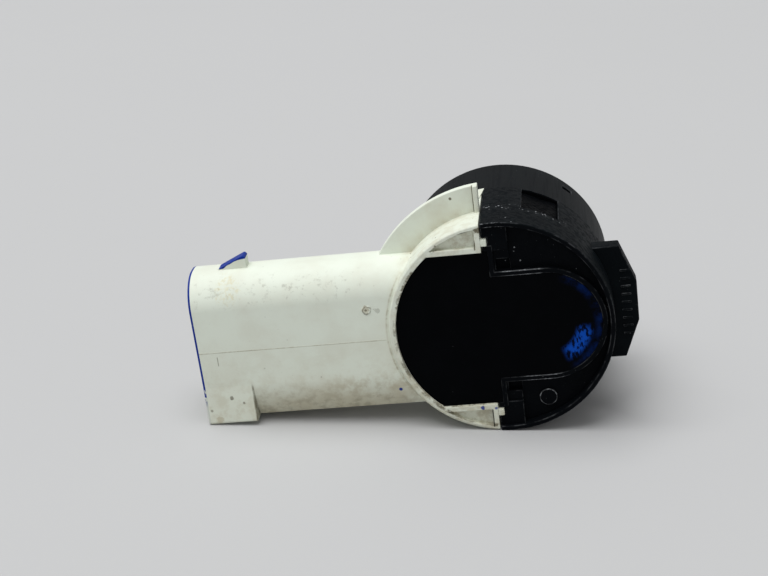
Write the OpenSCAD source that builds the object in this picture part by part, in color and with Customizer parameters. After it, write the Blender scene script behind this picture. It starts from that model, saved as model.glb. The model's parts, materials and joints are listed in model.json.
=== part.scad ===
// Ultrasonic parking sensor with a right-angle connector.
// +Y is the sensing direction, the connector mouth faces -X and +Z is up as it lies on its side.
// The origin is on the sensing axis, where the front barrel meets the shoulder.

/* [Barrel] */
// Outside diameter of the barrel
barrel_d = 25; // [24:0.1:27]
// Length from the rear rim to the shoulder's front face
rear_len = 12.3; // [12:0.1:15]
// Length of the front sleeve ahead of the shoulder
front_len = 9.7; // [9.2:0.1:12]
// Step from the barrel down to the front sleeve
sleeve_step = 0.2; // [0.16:0.02:0.4]
// Wall of the front sleeve
sleeve_wall = 1.35; // [1.1:0.05:1.6]
// Wall of the dark half of the barrel
band_wall = 1.2; // [1:0.05:1.4]
// Thickness of the shoulder disc
shoulder_t = 1.2; // [1:0.05:1.4]
// Bevel round the shoulder's front edge
shoulder_bevel = 0.35; // [0.1:0.05:0.5]
// Rounding of the front sleeve's front edge
front_fillet = 0.8; // [0.3:0.05:1.1]
// Place of the joint between the pale and the dark half
split_x = -1.3; // [-1.8:0.05:-1]
// Gap at that joint
joint_gap = 0.1; // [0.05:0.01:0.2]

/* [Rear well] */
// Width of the pale half's rim
rim_w = 0.8; // [0.7:0.05:1]
// Chamfer round the outside of that rim
rim_chamfer = 0.3; // [0.1:0.05:0.35]
// Half height of the well between its two flat walls
well_half_h = 9.1; // [8.9:0.05:9.4]
// Thickness of the flat walls
well_wall = 0.65; // [0.5:0.05:0.8]
// Width of the thin rim outside the pockets
pocket_rim = 0.55; // [0.4:0.05:0.7]
// Depth of the pale pockets
pale_pocket_depth = 0.6; // [0.4:0.05:1]
// Depth of the dark pockets
dark_pocket_depth = 1.2; // [0.8:0.05:1.6]
// Thickness of the pocket floors
pocket_floor = 1; // [0.8:0.05:1.2]
// Reach of the well past the joint, beside its tongue
well_reach = 0.6; // [0.4:0.05:0.8]
// Half width of the well's tongue in the dark half
tongue_half = 6.05; // [5.8:0.05:6.2]
// Distance of the tongue's round end from the barrel's outside
tongue_rim = 1.4; // [1.3:0.05:1.6]
// Wall round the tongue
tongue_wall = 0.6; // [0.5:0.05:0.8]
// Fall of the tongue wall's edge below the rear rim
tongue_fall = 0.4; // [0.3:0.05:0.6]
// Fall of the cast fill's face below the rear rim
fill_fall = 0.4; // [0.3:0.05:0.8]
// Width of the post at each end of the pale half
post_w = 0.6; // [0.4:0.05:0.8]
// Reach of the keying nub on each post
nub_reach = 0.65; // [0.4:0.05:0.8]
// Height of the keying nub
nub_h = 0.8; // [0.5:0.05:1]
// Length of the keying nub along the barrel
nub_len = 1.4; // [0.8:0.05:1.6]
// Width of the dark clip blocks beside the joint
block_w = 2.8; // [2.4:0.05:3]
// Fall of the clip blocks below the rear rim
block_fall = 0.5; // [0.45:0.05:0.7]
// Fall of the clip blocks' lower step beside the tongue
step_fall = 0.85; // [0.7:0.05:1.1]
// Width of the cored hole in each clip block
cored_w = 1.5; // [0.8:0.05:1.6]
// Height of the cored hole
cored_h = 1.3; // [0.8:0.05:1.5]
// Depth of the cored hole below the pockets' floors
cored_depth = 0.5; // [0.3:0.05:0.7]
// Diameter of the round boss in the lower dark pocket
boss_d = 2; // [1.2:0.1:2.2]
// Height of that boss
boss_h = 0.3; // [0.1:0.05:0.6]
// Distance of the boss from the sensing axis
boss_reach = 10.1; // [9.6:0.1:10.4]
// Direction of the boss round the barrel
boss_angle = -64; // [-70:1:-60]

/* [Ear, lug and window] */
// Radius of the ear's outer edge
ear_r = 15.5; // [14.8:0.1:16.5]
// Distance of the ear from the rear rim
ear_back = 4.5; // [3.8:0.1:5]
// Thickness of the ear
ear_t = 0.9; // [0.7:0.05:1.4]
// Width of the rib at the ear's end
ear_rib_w = 0.55; // [0.4:0.05:0.8]
// Height of the rib at the ear's end
ear_rib_h = 0.45; // [0.2:0.05:0.8]
// Reach of the lug from the sensing axis
lug_reach = 15.2; // [14.4:0.1:16]
// Half height of the lug
lug_half = 6.7; // [5.8:0.1:7]
// Half height of the lug's outer flat
lug_flat = 2.3; // [1.5:0.1:3]
// Length of the slope from the lug's flat to its corners
lug_slope = 1.7; // [1:0.1:2]
// Distance of the lug from the rear rim
lug_back = 5.1; // [4.4:0.1:5.6]
// Thickness of the lug
lug_t = 2; // [1.4:0.1:2.4]
// Direction of the sunken window round the barrel
window_angle = 65; // [55:1:75]
// Width of the sunken window
window_w = 4.3; // [3:0.1:5]
// Length of the sunken window
window_len = 6.6; // [5:0.1:7]
// Depth of the sunken window
window_depth = 0.7; // [0.4:0.05:0.8]

/* [Connector] */
// Reach of the connector's mouth from the sensing axis
mouth_reach = 34.8; // [33:0.1:38]
// Height of the connector shroud
shroud_h = 17.4; // [16.4:0.1:17.6]
// Depth of the connector shroud
shroud_d = 8.4; // [8:0.1:8.8]
// Upper corner radius of the connector shroud
shroud_r = 3.8; // [3:0.1:4]
// Radius of the shroud's lower sides, which turn in
belly_r = 8; // [7:0.1:12]
// Fall of that turn's start below the connector's middle
belly_drop = 4.2; // [3.6:0.1:5]
// Wall of the connector shroud
shroud_wall = 1; // [0.9:0.05:1.1]
// Drop of the connector's middle below the sensing axis
shroud_drop = 0.4; // [0:0.05:0.6]
// Depth of the socket
socket_depth = 14; // [12:0.1:16]
// Widening of the socket at its mouth
lead_in = 0.3; // [0.1:0.05:0.4]
// Depth of that widening
lead_in_depth = 1; // [0.5:0.1:2]
// Length of the lock ramp
ramp_len = 3.4; // [2.5:0.1:4]
// Height of the lock ramp
ramp_h = 1.4; // [1:0.05:1.6]
// Length of the flat on top of the lock ramp
ramp_crest = 0.35; // [0.2:0.05:0.8]
// Width of the lock ramp
ramp_w = 1.6; // [1.2:0.1:2]
// Distance of the lock ramp from the mouth
ramp_back = 3.2; // [2:0.1:4]
// Length of the foot
foot_len = 5.8; // [4:0.1:7]
// Height of the foot on the shroud's side
foot_h = 4.6; // [3.6:0.1:5.2]
// Width of the foot under the shroud
foot_w = 3.6; // [2.8:0.1:4]
// Height of the foot's faces above the shroud's
foot_proud = 0.25; // [0.2:0.05:0.7]
// Corner radius of the foot
foot_r = 0.35; // [0.2:0.05:1.2]

/* [Terminals] */
// Width of a terminal blade
blade_w = 1.5; // [1.2:0.05:1.8]
// Thickness of a terminal blade
blade_t = 0.64; // [0.5:0.02:0.8]
// Distance from one blade to the next
blade_pitch = 4.2; // [3.6:0.1:4.6]
// Distance of the blades' tips inside the mouth
blade_recess = 5.2; // [4.6:0.1:6]
// Length of a blade's pointed tip
blade_tip = 0.9; // [0.5:0.05:1.4]
// Width of that tip at its end
blade_point = 0.75; // [0.4:0.05:1]
// Length of a blade that lies on the board
blade_lap = 2.8; // [2.2:0.1:3]

/* [Circuit board] */
// Depth of the board's rear face below the rear rim
board_depth = 5.1; // [4.9:0.05:5.3]
// Thickness of the board
board_t = 1; // [0.8:0.05:1.2]
// Gap round the board
board_gap = 0.1; // [0.05:0.01:0.15]
// Width of the ledge under the board
ledge_w = 0.8; // [0.6:0.05:0.9]
// Thickness of the ledge under the board
ledge_t = 0.8; // [0.6:0.05:1]
// Height of the transformer
transformer_h = 4.3; // [3.8:0.1:4.4]
// Width of the transformer's core
core_w = 4.6; // [4:0.1:4.8]
// Length of the transformer's core
core_len = 6.8; // [6.4:0.1:7]
// Thickness of the transformer core's plates and legs
core_t = 0.75; // [0.6:0.05:0.8]
// Diameter of the transformer core's middle post
core_post_d = 2; // [1.6:0.1:2.2]
// Wall of the transformer's bobbin
bobbin_t = 0.3; // [0.25:0.05:0.35]
// Length of the chip's body
chip_len = 8.65; // [8.2:0.05:8.8]
// Width of the chip's body
chip_w = 3.9; // [3.6:0.1:4.2]
// Height of the chip's body
chip_h = 1.5; // [1.2:0.05:1.8]
// Gap under the chip's body
chip_gap = 0.1; // [0.05:0.05:0.2]
// Reach of each chip lead
chip_lead = 1.05; // [0.9:0.05:1.1]
// Width of a chip lead
lead_w = 0.42; // [0.3:0.02:0.5]
// Thickness of a chip lead
lead_t = 0.2; // [0.15:0.01:0.25]
// Number of chip leads on each side
chip_leads = 7; // [5:1:8]
// Length of the chip's body past its end leads
chip_end = 0.3; // [0.1:0.05:0.5]
// Space between the parts on the board
part_space = 0.4; // [0.3:0.05:0.45]
// Diameter of the can capacitor
can_d = 3.5; // [3:0.1:3.6]
// Height of the can capacitor
can_h = 4.2; // [3:0.1:4.3]
// Height of the can capacitor's base
can_base = 0.5; // [0.3:0.05:0.8]
// Space between the can capacitor and the ledge
can_space = 0.15; // [0.1:0.05:0.2]
// Length of a ceramic capacitor
ceramic_len = 2; // [1.6:0.1:2]
// Width of a ceramic capacitor
ceramic_w = 1.2; // [0.8:0.05:1.25]
// Height of a ceramic capacitor
ceramic_h = 0.9; // [0.6:0.05:1.2]
// Space between the ceramic capacitors and the ledge
ceramic_space = 0.85; // [0.6:0.05:0.9]
// Length of a resistor
resistor_len = 1.6; // [1.2:0.1:1.8]
// Width of a resistor
resistor_w = 0.8; // [0.6:0.05:0.9]
// Height of a resistor
resistor_h = 0.45; // [0.3:0.05:0.6]
// Length of the diode
diode_len = 2.7; // [2.2:0.1:2.8]
// Width of the diode
diode_w = 1.6; // [1.2:0.05:1.7]
// Height of the diode
diode_h = 1.1; // [0.8:0.05:1.3]
// Space between the diode and the ledge
diode_space = 0.1; // [0.05:0.05:0.15]

/* [Transducer] */
// Outside diameter of the pot
pot_d = 16; // [15:0.1:17.6]
// Side wall of the pot
pot_wall = 1.4; // [1.2:0.05:1.6]
// Thickness of the membrane
membrane_t = 0.8; // [0.6:0.05:1]
// Height of the membrane above the sleeve's face
pot_proud = 0.3; // [0:0.05:0.6]
// Rounding of the membrane's edge
pot_fillet = 0.4; // [0.2:0.05:0.6]
// Thickness of the decoupling ring's rear flange
soft_flange = 1; // [0.8:0.05:1.2]
// Width of the decoupling ring's flange under the pot
soft_seat = 1.1; // [0.8:0.05:1.3]
// Wall of the nose tube
nose_wall = 0.9; // [0.8:0.05:1]
// Thickness of the sleeve's front lip
lip_t = 1.2; // [1.1:0.05:1.5]
// Width of the sleeve's lip over the decoupling ring
lip_reach = 0.5; // [0.3:0.05:0.8]
// Direction of the first snap window in the sleeve
snap_angle = 48; // [40:1:55]
// Number of snap windows
snap_count = 4; // [3:1:6]
// Width of a snap window
snap_w = 1.3; // [1:0.1:2]
// Length of a snap window along the barrel
snap_len = 1; // [0.8:0.1:1.4]
// Distance of the snap windows from the sleeve's front face
snap_back = 3; // [2.6:0.1:4]
// Height of a snap hook above the nose tube
snap_h = 0.8; // [0.4:0.05:1]
// Diameter of the ceramic disc
piezo_d = 8.4; // [7:0.1:9]
// Thickness of the ceramic disc
piezo_t = 0.45; // [0.3:0.05:0.6]
// Thickness of the damping felt
felt_t = 2.2; // [1.8:0.1:2.3]
// Thickness of the sealant behind the felt
sealant_t = 2; // [1.4:0.1:2.1]
// Thickness of the contact carrier
carrier_t = 1.4; // [1:0.1:1.5]
// Distance of each contact from the sensing axis
contact_x = 2.2; // [1.9:0.05:2.3]
// Diameter of a contact
contact_d = 0.6; // [0.4:0.05:0.6]
// Length of a contact past the board and past the carrier
contact_tail = 0.5; // [0.3:0.05:0.8]
// Diameter of a wire
wire_d = 0.3; // [0.2:0.05:0.4]

/* [Hidden] */
$fn = 96;
// Clearance between pieces that fit into each other
fit = 0.05;
// Clearance round what is cast or moulded in
bond = 0.02;
// Overlap of solids that are cut or joined
over = 0.5;

barrel_r = barrel_d / 2;
cup_r = barrel_r - rim_w;
ledge_r = cup_r - ledge_w;
band_r = barrel_r - band_wall;
pocket_r = barrel_r - pocket_rim;
dark_x = split_x + joint_gap;
well_x = split_x + well_reach;
block_x = dark_x + block_w;
tongue_x = barrel_r - tongue_rim - tongue_half;
flat_out = well_half_h + well_wall;
nub_z = flat_out + nub_h / 2 + fit;

rear_y = -rear_len;
board_y = rear_y + board_depth;
parts_y = board_y + board_t;
ledge_end_y = parts_y + ledge_t;
fill_y = rear_y + fill_fall;
pocket_y = rear_y + dark_pocket_depth;
plate_end_y = pocket_y + pocket_floor;
pale_end_y = -shoulder_t - joint_gap;

shroud_y = board_y - blade_t / 2;
near_y = shroud_y - shroud_d / 2;
shroud_z = -shroud_drop;
shroud_top = shroud_z + shroud_h / 2;
shroud_bottom = shroud_z - shroud_h / 2;
mouth_x = -mouth_reach;
socket_end_x = mouth_x + socket_depth;
blade_tip_x = mouth_x + blade_recess;
blade_end_x = -cup_r + blade_lap;
blade_places = [for (i = [-1, 0, 1]) shroud_z + i * blade_pitch];

sleeve_r = barrel_r - sleeve_step;
sleeve_bore_r = sleeve_r - sleeve_wall;
nose_r = sleeve_bore_r - fit;
nose_bore_r = nose_r - nose_wall;
soft_r = nose_bore_r - fit;
pot_r = pot_d / 2;
soft_bore_r = pot_r + fit;
pot_in_r = pot_r - pot_wall;
pot_end_y = front_len + pot_proud;
nose_end_y = front_len - lip_t - fit;
lip_r = soft_r - lip_reach;
shoulder_bore_r = pot_r - soft_seat;
snap_y = front_len - snap_back;
piezo_y = pot_end_y - membrane_t - piezo_t;
felt_y = piezo_y - felt_t;
sealant_y = felt_y - sealant_t;
carrier_y = sealant_y - carrier_t;
contact_end_y = sealant_y + contact_tail;

bobbin_r = core_len / 2 - core_t - 2 * fit;
transformer_x = contact_x + contact_d / 2 + part_space + bobbin_r;
bobbin_y = parts_y + core_t + fit;
bobbin_end_y = parts_y + transformer_h - core_t - fit;
spool_r = core_post_d / 2 + fit + bobbin_t;
chip_reach = sqrt(ledge_r * ledge_r - chip_len * chip_len / 4);
chip_x = -(chip_reach + contact_x + contact_d / 2) / 2;
chip_pitch = (chip_len - 2 * chip_end - lead_w) / (chip_leads - 1);
can_x = dark_x - can_d / 2 - part_space;
can_z = well_half_h - ledge_w - can_d / 2 - can_space;

// Extrudes a rear-view outline, X to the right and Z up, from y0 to y1
module slab(y0, y1) {
    translate([0, y1, 0]) rotate([90, 0, 0]) linear_extrude(y1 - y0) children();
}

// Extrudes an end-view outline, Y to the right and Z up, from x0 to x1
module bar(x0, x1) {
    translate([x0, 0, 0]) rotate([90, 0, 90]) linear_extrude(x1 - x0) children();
}

// Turns a half profile of radius and Y round the sensing axis
module turned() {
    rotate([-90, 0, 0]) rotate_extrude() children();
}

// A round post along Y
module post(x, z, r, y0, y1) {
    translate([x, y0, z]) rotate([-90, 0, 0]) cylinder(r = r, h = y1 - y0);
}

// A box between two corners
module block(low, high) {
    translate(low) cube(high - low);
}

module ring(r_out, r_in) {
    difference() {
        circle(r = r_out);
        circle(r = r_in);
    }
}

module rounded_rect(w, h, r) {
    square([w - 2 * r, h], center = true);
    square([w, h - 2 * r], center = true);
    for (x = [-1, 1], z = [-1, 1]) translate([x * (w / 2 - r), z * (h / 2 - r)]) circle(r = r);
}

// What lies on the pale side of x
module pale_side(x) {
    translate([-2 * barrel_r, -2 * barrel_r]) square([2 * barrel_r + x, 4 * barrel_r]);
}

// What lies on the dark side of x
module dark_side(x) {
    translate([x, -2 * barrel_r]) square([2 * barrel_r - x, 4 * barrel_r]);
}

// A level strip between two heights, on both sides of the middle plane
module strips(z0, z1) {
    for (side = [0, 1]) mirror([0, side]) translate([-barrel_r, z0]) square([2 * barrel_r, z1 - z0]);
}

// The well's round part on the pale side, less a margin
module well_round(margin) {
    intersection() {
        circle(r = cup_r - margin);
        square([2 * cup_r, 2 * (well_half_h - margin)], center = true);
        pale_side(well_x - margin);
    }
}

// The well's tongue on the dark side, less a margin
module tongue(margin) {
    half = tongue_half - margin;
    translate([split_x - over, -half]) square([tongue_x - split_x + over, 2 * half]);
    translate([tongue_x, 0]) circle(r = half);
}

// The whole well seen from behind, less a margin
module well(margin) {
    well_round(margin);
    tongue(margin);
}

// The connector shroud's outline seen from its mouth, less a margin
module shroud_outline(margin) {
    half_d = shroud_d / 2 - margin;
    half_h = shroud_h / 2 - margin;
    translate([shroud_y, shroud_z]) {
        intersection() {
            rounded_rect(2 * half_d, 2 * half_h, shroud_r - margin);
            translate([-half_d, -belly_drop]) square([2 * half_d, half_h + belly_drop]);
        }
        intersection() {
            translate([-half_d, -half_h]) square([2 * half_d, half_h]);
            translate([belly_r - shroud_d / 2, -belly_drop]) circle(r = belly_r - margin);
            translate([shroud_d / 2 - belly_r, -belly_drop]) circle(r = belly_r - margin);
        }
    }
}

// The pale half of the barrel with its rim, flat walls, ledge and posts
module half_cup() {
    intersection() {
        turned() polygon([
            [cup_r, rear_y],
            [barrel_r - rim_chamfer, rear_y],
            [barrel_r, rear_y + rim_chamfer],
            [barrel_r, pale_end_y],
            [cup_r, pale_end_y]
        ]);
        slab(rear_y, pale_end_y) pale_side(split_x);
    }
    slab(parts_y, ledge_end_y) intersection() {
        difference() {
            circle(r = cup_r + rim_w / 2);
            intersection() {
                circle(r = ledge_r);
                square(2 * [cup_r, well_half_h - ledge_w], center = true);
            }
        }
        square([2 * barrel_r, 2 * flat_out], center = true);
        pale_side(split_x);
    }
    slab(rear_y, ledge_end_y) intersection() {
        strips(well_half_h, flat_out);
        circle(r = cup_r + rim_w / 2);
        pale_side(split_x);
    }
    slab(rear_y, rear_y + pale_pocket_depth + pocket_floor) intersection() {
        strips(flat_out - well_wall / 2, barrel_r);
        circle(r = cup_r + rim_w / 2);
        pale_side(split_x);
    }
}

// The two shallow pockets beside the flat walls
module pale_pockets() {
    slab(rear_y - over, rear_y + pale_pocket_depth) intersection() {
        strips(flat_out, barrel_r);
        circle(r = pocket_r);
        pale_side(split_x - post_w);
    }
}

// The keying nubs on the posts at the joint, with a clearance
module nubs(clearance) {
    half = nub_h / 2 + clearance;
    for (side = [-1, 1])
        block(
            [split_x - over, rear_y + fit - over * sign(clearance), side * nub_z - half],
            [split_x + nub_reach + clearance, rear_y + nub_len + clearance, side * nub_z + half]);
}

// The flat ear that stands on the barrel and runs into the connector
module ear() {
    slab(rear_y + ear_back, rear_y + ear_back + ear_t) difference() {
        intersection() {
            circle(r = ear_r);
            pale_side(split_x);
            translate([-2 * barrel_r, shroud_top - shroud_wall / 2]) square([4 * barrel_r, 2 * barrel_r]);
        }
        circle(r = barrel_r - rim_w / 2);
    }
    slab(rear_y + ear_back - ear_rib_h, rear_y + ear_back + ear_t) difference() {
        intersection() {
            circle(r = ear_r);
            pale_side(split_x);
            dark_side(split_x - ear_rib_w);
            translate([-barrel_r, 0]) square([2 * barrel_r, 2 * barrel_r]);
        }
        circle(r = barrel_r - rim_w / 2);
    }
}

// The wedge that the plug's latch snaps behind
module lock_ramp() {
    ramp_x = mouth_x + ramp_back;
    slab(shroud_y - ramp_w / 2, shroud_y + ramp_w / 2) polygon([
        [ramp_x, shroud_top - shroud_wall / 2],
        [ramp_x, shroud_top],
        [ramp_x + ramp_len - ramp_crest, shroud_top + ramp_h],
        [ramp_x + ramp_len, shroud_top + ramp_h],
        [ramp_x + ramp_len, shroud_top - shroud_wall / 2]
    ]);
}

// The square foot that fills the shroud's lower corner at the mouth
module foot() {
    bar(mouth_x, mouth_x + foot_len)
        translate([near_y - foot_proud + foot_w / 2, shroud_bottom - foot_proud + foot_h / 2])
            rounded_rect(foot_w, foot_h, foot_r);
}

// Room for the three blades, with a clearance, from x0 to x1
module blade_slots(x0, x1, clearance) {
    for (z = blade_places)
        block(
            [x0, board_y - blade_t - clearance, z - blade_w / 2 - clearance],
            [x1, board_y + clearance, z + blade_w / 2 + clearance]);
}

module connector_housing() {
    color("ivory") difference() {
        union() {
            half_cup();
            nubs(0);
            ear();
            difference() {
                union() {
                    bar(mouth_x, -barrel_r / 2) shroud_outline(0);
                    lock_ramp();
                    foot();
                }
                slab(rear_y - over, pale_end_y) circle(r = barrel_r - rim_w / 2);
            }
        }
        pale_pockets();
        bar(mouth_x - over, socket_end_x) shroud_outline(shroud_wall);
        bar(mouth_x - over, mouth_x + lead_in_depth) shroud_outline(shroud_wall - lead_in);
        blade_slots(socket_end_x - over, blade_end_x, bond);
    }
}

// The walls round the well in the dark half seen from behind, and the room inside them
module well_shell() {
    tongue(-tongue_wall);
    translate([dark_x - over, -flat_out])
        square([well_x + tongue_wall - dark_x + over, 2 * flat_out]);
}

// A cut into the dark rear plate, inside its rim and outside the well's walls
module plate_cut(depth) {
    slab(rear_y - over, rear_y + depth) difference() {
        intersection() {
            circle(r = pocket_r);
            children();
        }
        well_shell();
    }
}

// Rear plate of the dark half, with its blocks and pockets cut to their depths
module dark_plate() {
    difference() {
        slab(rear_y, plate_end_y) intersection() {
            circle(r = barrel_r);
            dark_side(dark_x);
        }
        plate_cut(dark_pocket_depth) dark_side(block_x);
        plate_cut(block_fall) dark_side(dark_x - over);
        plate_cut(step_fall) intersection() {
            dark_side(dark_x - over);
            strips(0, well_half_h);
        }
        slab(rear_y - over, rear_y + tongue_fall) intersection() {
            circle(r = pocket_r);
            dark_side(dark_x - over);
        }
        slab(rear_y - over, plate_end_y + over) well(0);
        slab(rear_y - over, pocket_y + cored_depth) for (side = [-1, 1])
            translate([block_x - cored_w / 2, side * (tongue_half + tongue_wall + cored_h / 2)])
                square([cored_w, cored_h], center = true);
    }
}

// The walls round the well in the dark half, with the board's ledge
module tongue_cup() {
    difference() {
        slab(pocket_y, ledge_end_y) intersection() {
            well_shell();
            circle(r = barrel_r - band_wall / 2);
            dark_side(dark_x);
        }
        slab(rear_y, parts_y) well(0);
        slab(rear_y, ledge_end_y + over) well(ledge_w);
    }
}

// The lug on the side away from the connector
module lug() {
    corner_x = lug_reach - lug_slope;
    root_x = sqrt(barrel_r * barrel_r - lug_half * lug_half) - band_wall / 2;
    slab(rear_y + lug_back, rear_y + lug_back + lug_t) difference() {
        polygon([
            [root_x, lug_half],
            [corner_x, lug_half],
            [lug_reach, lug_flat],
            [lug_reach, -lug_flat],
            [corner_x, -lug_half],
            [root_x, -lug_half]
        ]);
        circle(r = barrel_r - band_wall / 2);
    }
}

// Copies of a piece round the sensing axis at the snap windows
module at_snaps() {
    for (i = [0:snap_count - 1]) rotate([0, -snap_angle - i * 360 / snap_count, 0]) children();
}

module main_housing() {
    window_y = -shoulder_bevel - window_len;
    color([0.09, 0.09, 0.1]) difference() {
        union() {
            dark_plate();
            tongue_cup();
            slab(pocket_y, -shoulder_t / 2) intersection() {
                ring(barrel_r, band_r);
                dark_side(dark_x);
            }
            rotate([0, -boss_angle, 0])
                post(boss_reach, 0, boss_d / 2, pocket_y - boss_h, pocket_y + pocket_floor / 2);
            lug();
            turned() polygon([
                [shoulder_bore_r, -shoulder_t],
                [barrel_r, -shoulder_t],
                [barrel_r, -shoulder_bevel],
                [barrel_r - shoulder_bevel, 0],
                [shoulder_bore_r, 0]
            ]);
            turned() translate([nose_bore_r, -shoulder_t / 2])
                square([nose_wall, nose_end_y + shoulder_t / 2]);
            at_snaps()
                block(
                    [nose_r - nose_wall / 2, snap_y - snap_len / 2 + fit, -snap_w / 2 + fit],
                    [nose_r + snap_h, snap_y + snap_len / 2 - fit, snap_w / 2 - fit]);
        }
        nubs(fit);
        rotate([0, -window_angle, 0])
            block(
                [barrel_r - window_depth, window_y, -window_w / 2],
                [barrel_r + over, -shoulder_bevel, window_w / 2]);
    }
}

module front_sleeve() {
    color([0.12, 0.12, 0.13]) difference() {
        turned() {
            translate([sleeve_bore_r, 0])
                square([sleeve_wall, front_len - front_fillet]);
            translate([lip_r, front_len - lip_t])
                square([sleeve_r - front_fillet - lip_r, lip_t]);
            translate([sleeve_r - front_fillet, front_len - front_fillet]) intersection() {
                circle(r = front_fillet);
                square(front_fillet);
            }
        }
        at_snaps()
            block(
                [sleeve_bore_r - over, snap_y - snap_len / 2, -snap_w / 2],
                [barrel_r + over, snap_y + snap_len / 2, snap_w / 2]);
    }
}

module potting_fill() {
    color([0.05, 0.05, 0.06]) difference() {
        slab(fill_y, board_y) well(bond);
        blade_slots(-barrel_r, blade_end_x + bond, bond);
        for (x = [-contact_x, contact_x])
            post(x, 0, contact_d / 2 + bond, board_y - contact_tail - bond, board_y + over);
    }
}

module membrane_pot() {
    color("silver") difference() {
        turned() {
            translate([0, soft_flange]) square([pot_r, pot_end_y - soft_flange - pot_fillet]);
            translate([0, soft_flange]) square([pot_r - pot_fillet, pot_end_y - soft_flange]);
            translate([pot_r - pot_fillet, pot_end_y - pot_fillet]) circle(r = pot_fillet);
        }
        post(0, 0, pot_in_r, soft_flange - over, pot_end_y - membrane_t);
    }
}

module decoupling_ring() {
    color([0.16, 0.16, 0.17]) turned() {
        translate([soft_bore_r, 0]) square([soft_r - soft_bore_r, nose_end_y]);
        translate([shoulder_bore_r, 0]) square([soft_r - shoulder_bore_r, soft_flange]);
        translate([soft_bore_r, 0]) square([lip_r - fit - soft_bore_r, front_len]);
    }
}

module piezo_disc() {
    color("khaki") post(0, 0, piezo_d / 2, piezo_y, piezo_y + piezo_t);
}

module damping_felt() {
    color("dimgray") difference() {
        post(0, 0, pot_in_r - fit, felt_y, piezo_y);
        for (x = [-contact_x, contact_x]) post(x, 0, wire_d / 2 + bond, felt_y - over, piezo_y + over);
    }
}

module pot_sealant() {
    color("lightgray") difference() {
        post(0, 0, pot_in_r - bond, sealant_y, felt_y);
        for (x = [-contact_x, contact_x]) {
            post(x, 0, wire_d / 2 + bond, sealant_y - over, felt_y + over);
            post(x, 0, contact_d / 2 + bond, sealant_y - over, contact_end_y);
        }
    }
}

module contact_carrier() {
    color("tan") difference() {
        post(0, 0, pot_in_r - fit, carrier_y, sealant_y);
        for (x = [-contact_x, contact_x])
            post(x, 0, contact_d / 2 + bond, carrier_y - over, sealant_y + over);
    }
}

// A contact post from the board to the carrier
module contact(x) {
    color("gold") post(x, 0, contact_d / 2, board_y - contact_tail, contact_end_y);
}

module hot_contact() {
    contact(contact_x);
}

module return_contact() {
    contact(-contact_x);
}

// A wire from a contact to the ceramic disc
module wire(x) {
    color("orangered") post(x, 0, wire_d / 2, contact_end_y, piezo_y);
}

module hot_wire() {
    wire(contact_x);
}

module return_wire() {
    wire(-contact_x);
}

module circuit_board() {
    color("seagreen") difference() {
        slab(board_y, parts_y) well(board_gap);
        for (x = [-contact_x, contact_x])
            post(x, 0, contact_d / 2 + fit, board_y - over, parts_y + over);
    }
}

// A block part of a given length, width and height on the board's front face
module board_part(x, z, len_x, len_z, h) {
    block([x - len_x / 2, parts_y, z - len_z / 2], [x + len_x / 2, parts_y + h, z + len_z / 2]);
}

module control_chip() {
    color([0.15, 0.15, 0.15]) {
        block(
            [chip_x - chip_w / 2, parts_y + chip_gap, -chip_len / 2],
            [chip_x + chip_w / 2, parts_y + chip_h, chip_len / 2]);
        for (i = [0:chip_leads - 1]) {
            z = (i - (chip_leads - 1) / 2) * chip_pitch;
            foot_x = chip_w / 2 + chip_lead;
            knee_x = chip_w / 2 + chip_lead / 2;
            slope_y = chip_h / 2;
            translate([chip_x, parts_y, z - lead_w / 2]) linear_extrude(lead_w)
                for (side = [0, 1]) mirror([side, 0]) polygon([
                    [chip_w / 2 - over, slope_y],
                    [chip_w / 2 - over, slope_y + lead_t],
                    [knee_x, slope_y + lead_t],
                    [knee_x + lead_t, lead_t],
                    [foot_x, lead_t],
                    [foot_x, 0],
                    [knee_x, 0],
                    [knee_x - lead_t, slope_y]
                ]);
        }
    }
}

module transformer_core() {
    top_y = parts_y + transformer_h;
    leg_z = core_len / 2;
    color([0.25, 0.25, 0.27]) {
        board_part(transformer_x, 0, core_w, core_len, core_t);
        block(
            [transformer_x - core_w / 2, top_y - core_t, -leg_z],
            [transformer_x + core_w / 2, top_y, leg_z]);
        for (side = [-1, 1])
            board_part(transformer_x, side * (leg_z - core_t / 2), core_w, core_t, transformer_h);
        post(transformer_x, 0, core_post_d / 2, parts_y + core_t / 2, top_y - core_t / 2);
    }
}

module transformer_bobbin() {
    color("whitesmoke") translate([transformer_x, 0, 0]) turned() {
        translate([core_post_d / 2 + fit, bobbin_y]) square([bobbin_t, bobbin_end_y - bobbin_y]);
        for (y = [bobbin_y, bobbin_end_y - bobbin_t])
            translate([core_post_d / 2 + fit, y]) square([bobbin_r - core_post_d / 2 - fit, bobbin_t]);
    }
}

module transformer_winding() {
    color("chocolate") translate([transformer_x, 0, 0]) turned()
        translate([spool_r + bond, bobbin_y + bobbin_t + bond])
            square([bobbin_r - spool_r - fit, bobbin_end_y - bobbin_y - 2 * (bobbin_t + bond)]);
}

module supply_capacitor() {
    color("silver") {
        post(can_x, can_z, can_d / 2, parts_y + can_base / 2, parts_y + can_h);
        board_part(can_x, can_z, can_d, can_d, can_base);
    }
}

module filter_capacitors() {
    first_x = dark_x - part_space - ceramic_len / 2;
    first_z = -(well_half_h - ledge_w - ceramic_space - ceramic_w / 2);
    color("burlywood") for (column = [0, 1], row = [0, 1])
        board_part(
            first_x - column * (ceramic_len + part_space), first_z + row * (ceramic_w + part_space),
            ceramic_len, ceramic_w, ceramic_h);
}

module resistors() {
    color([0.2, 0.2, 0.22]) for (side = [-1, 1], row = [0, 1])
        board_part(
            0, side * (contact_x + row * (resistor_w + part_space)),
            resistor_len, resistor_w, resistor_h);
}

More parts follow.
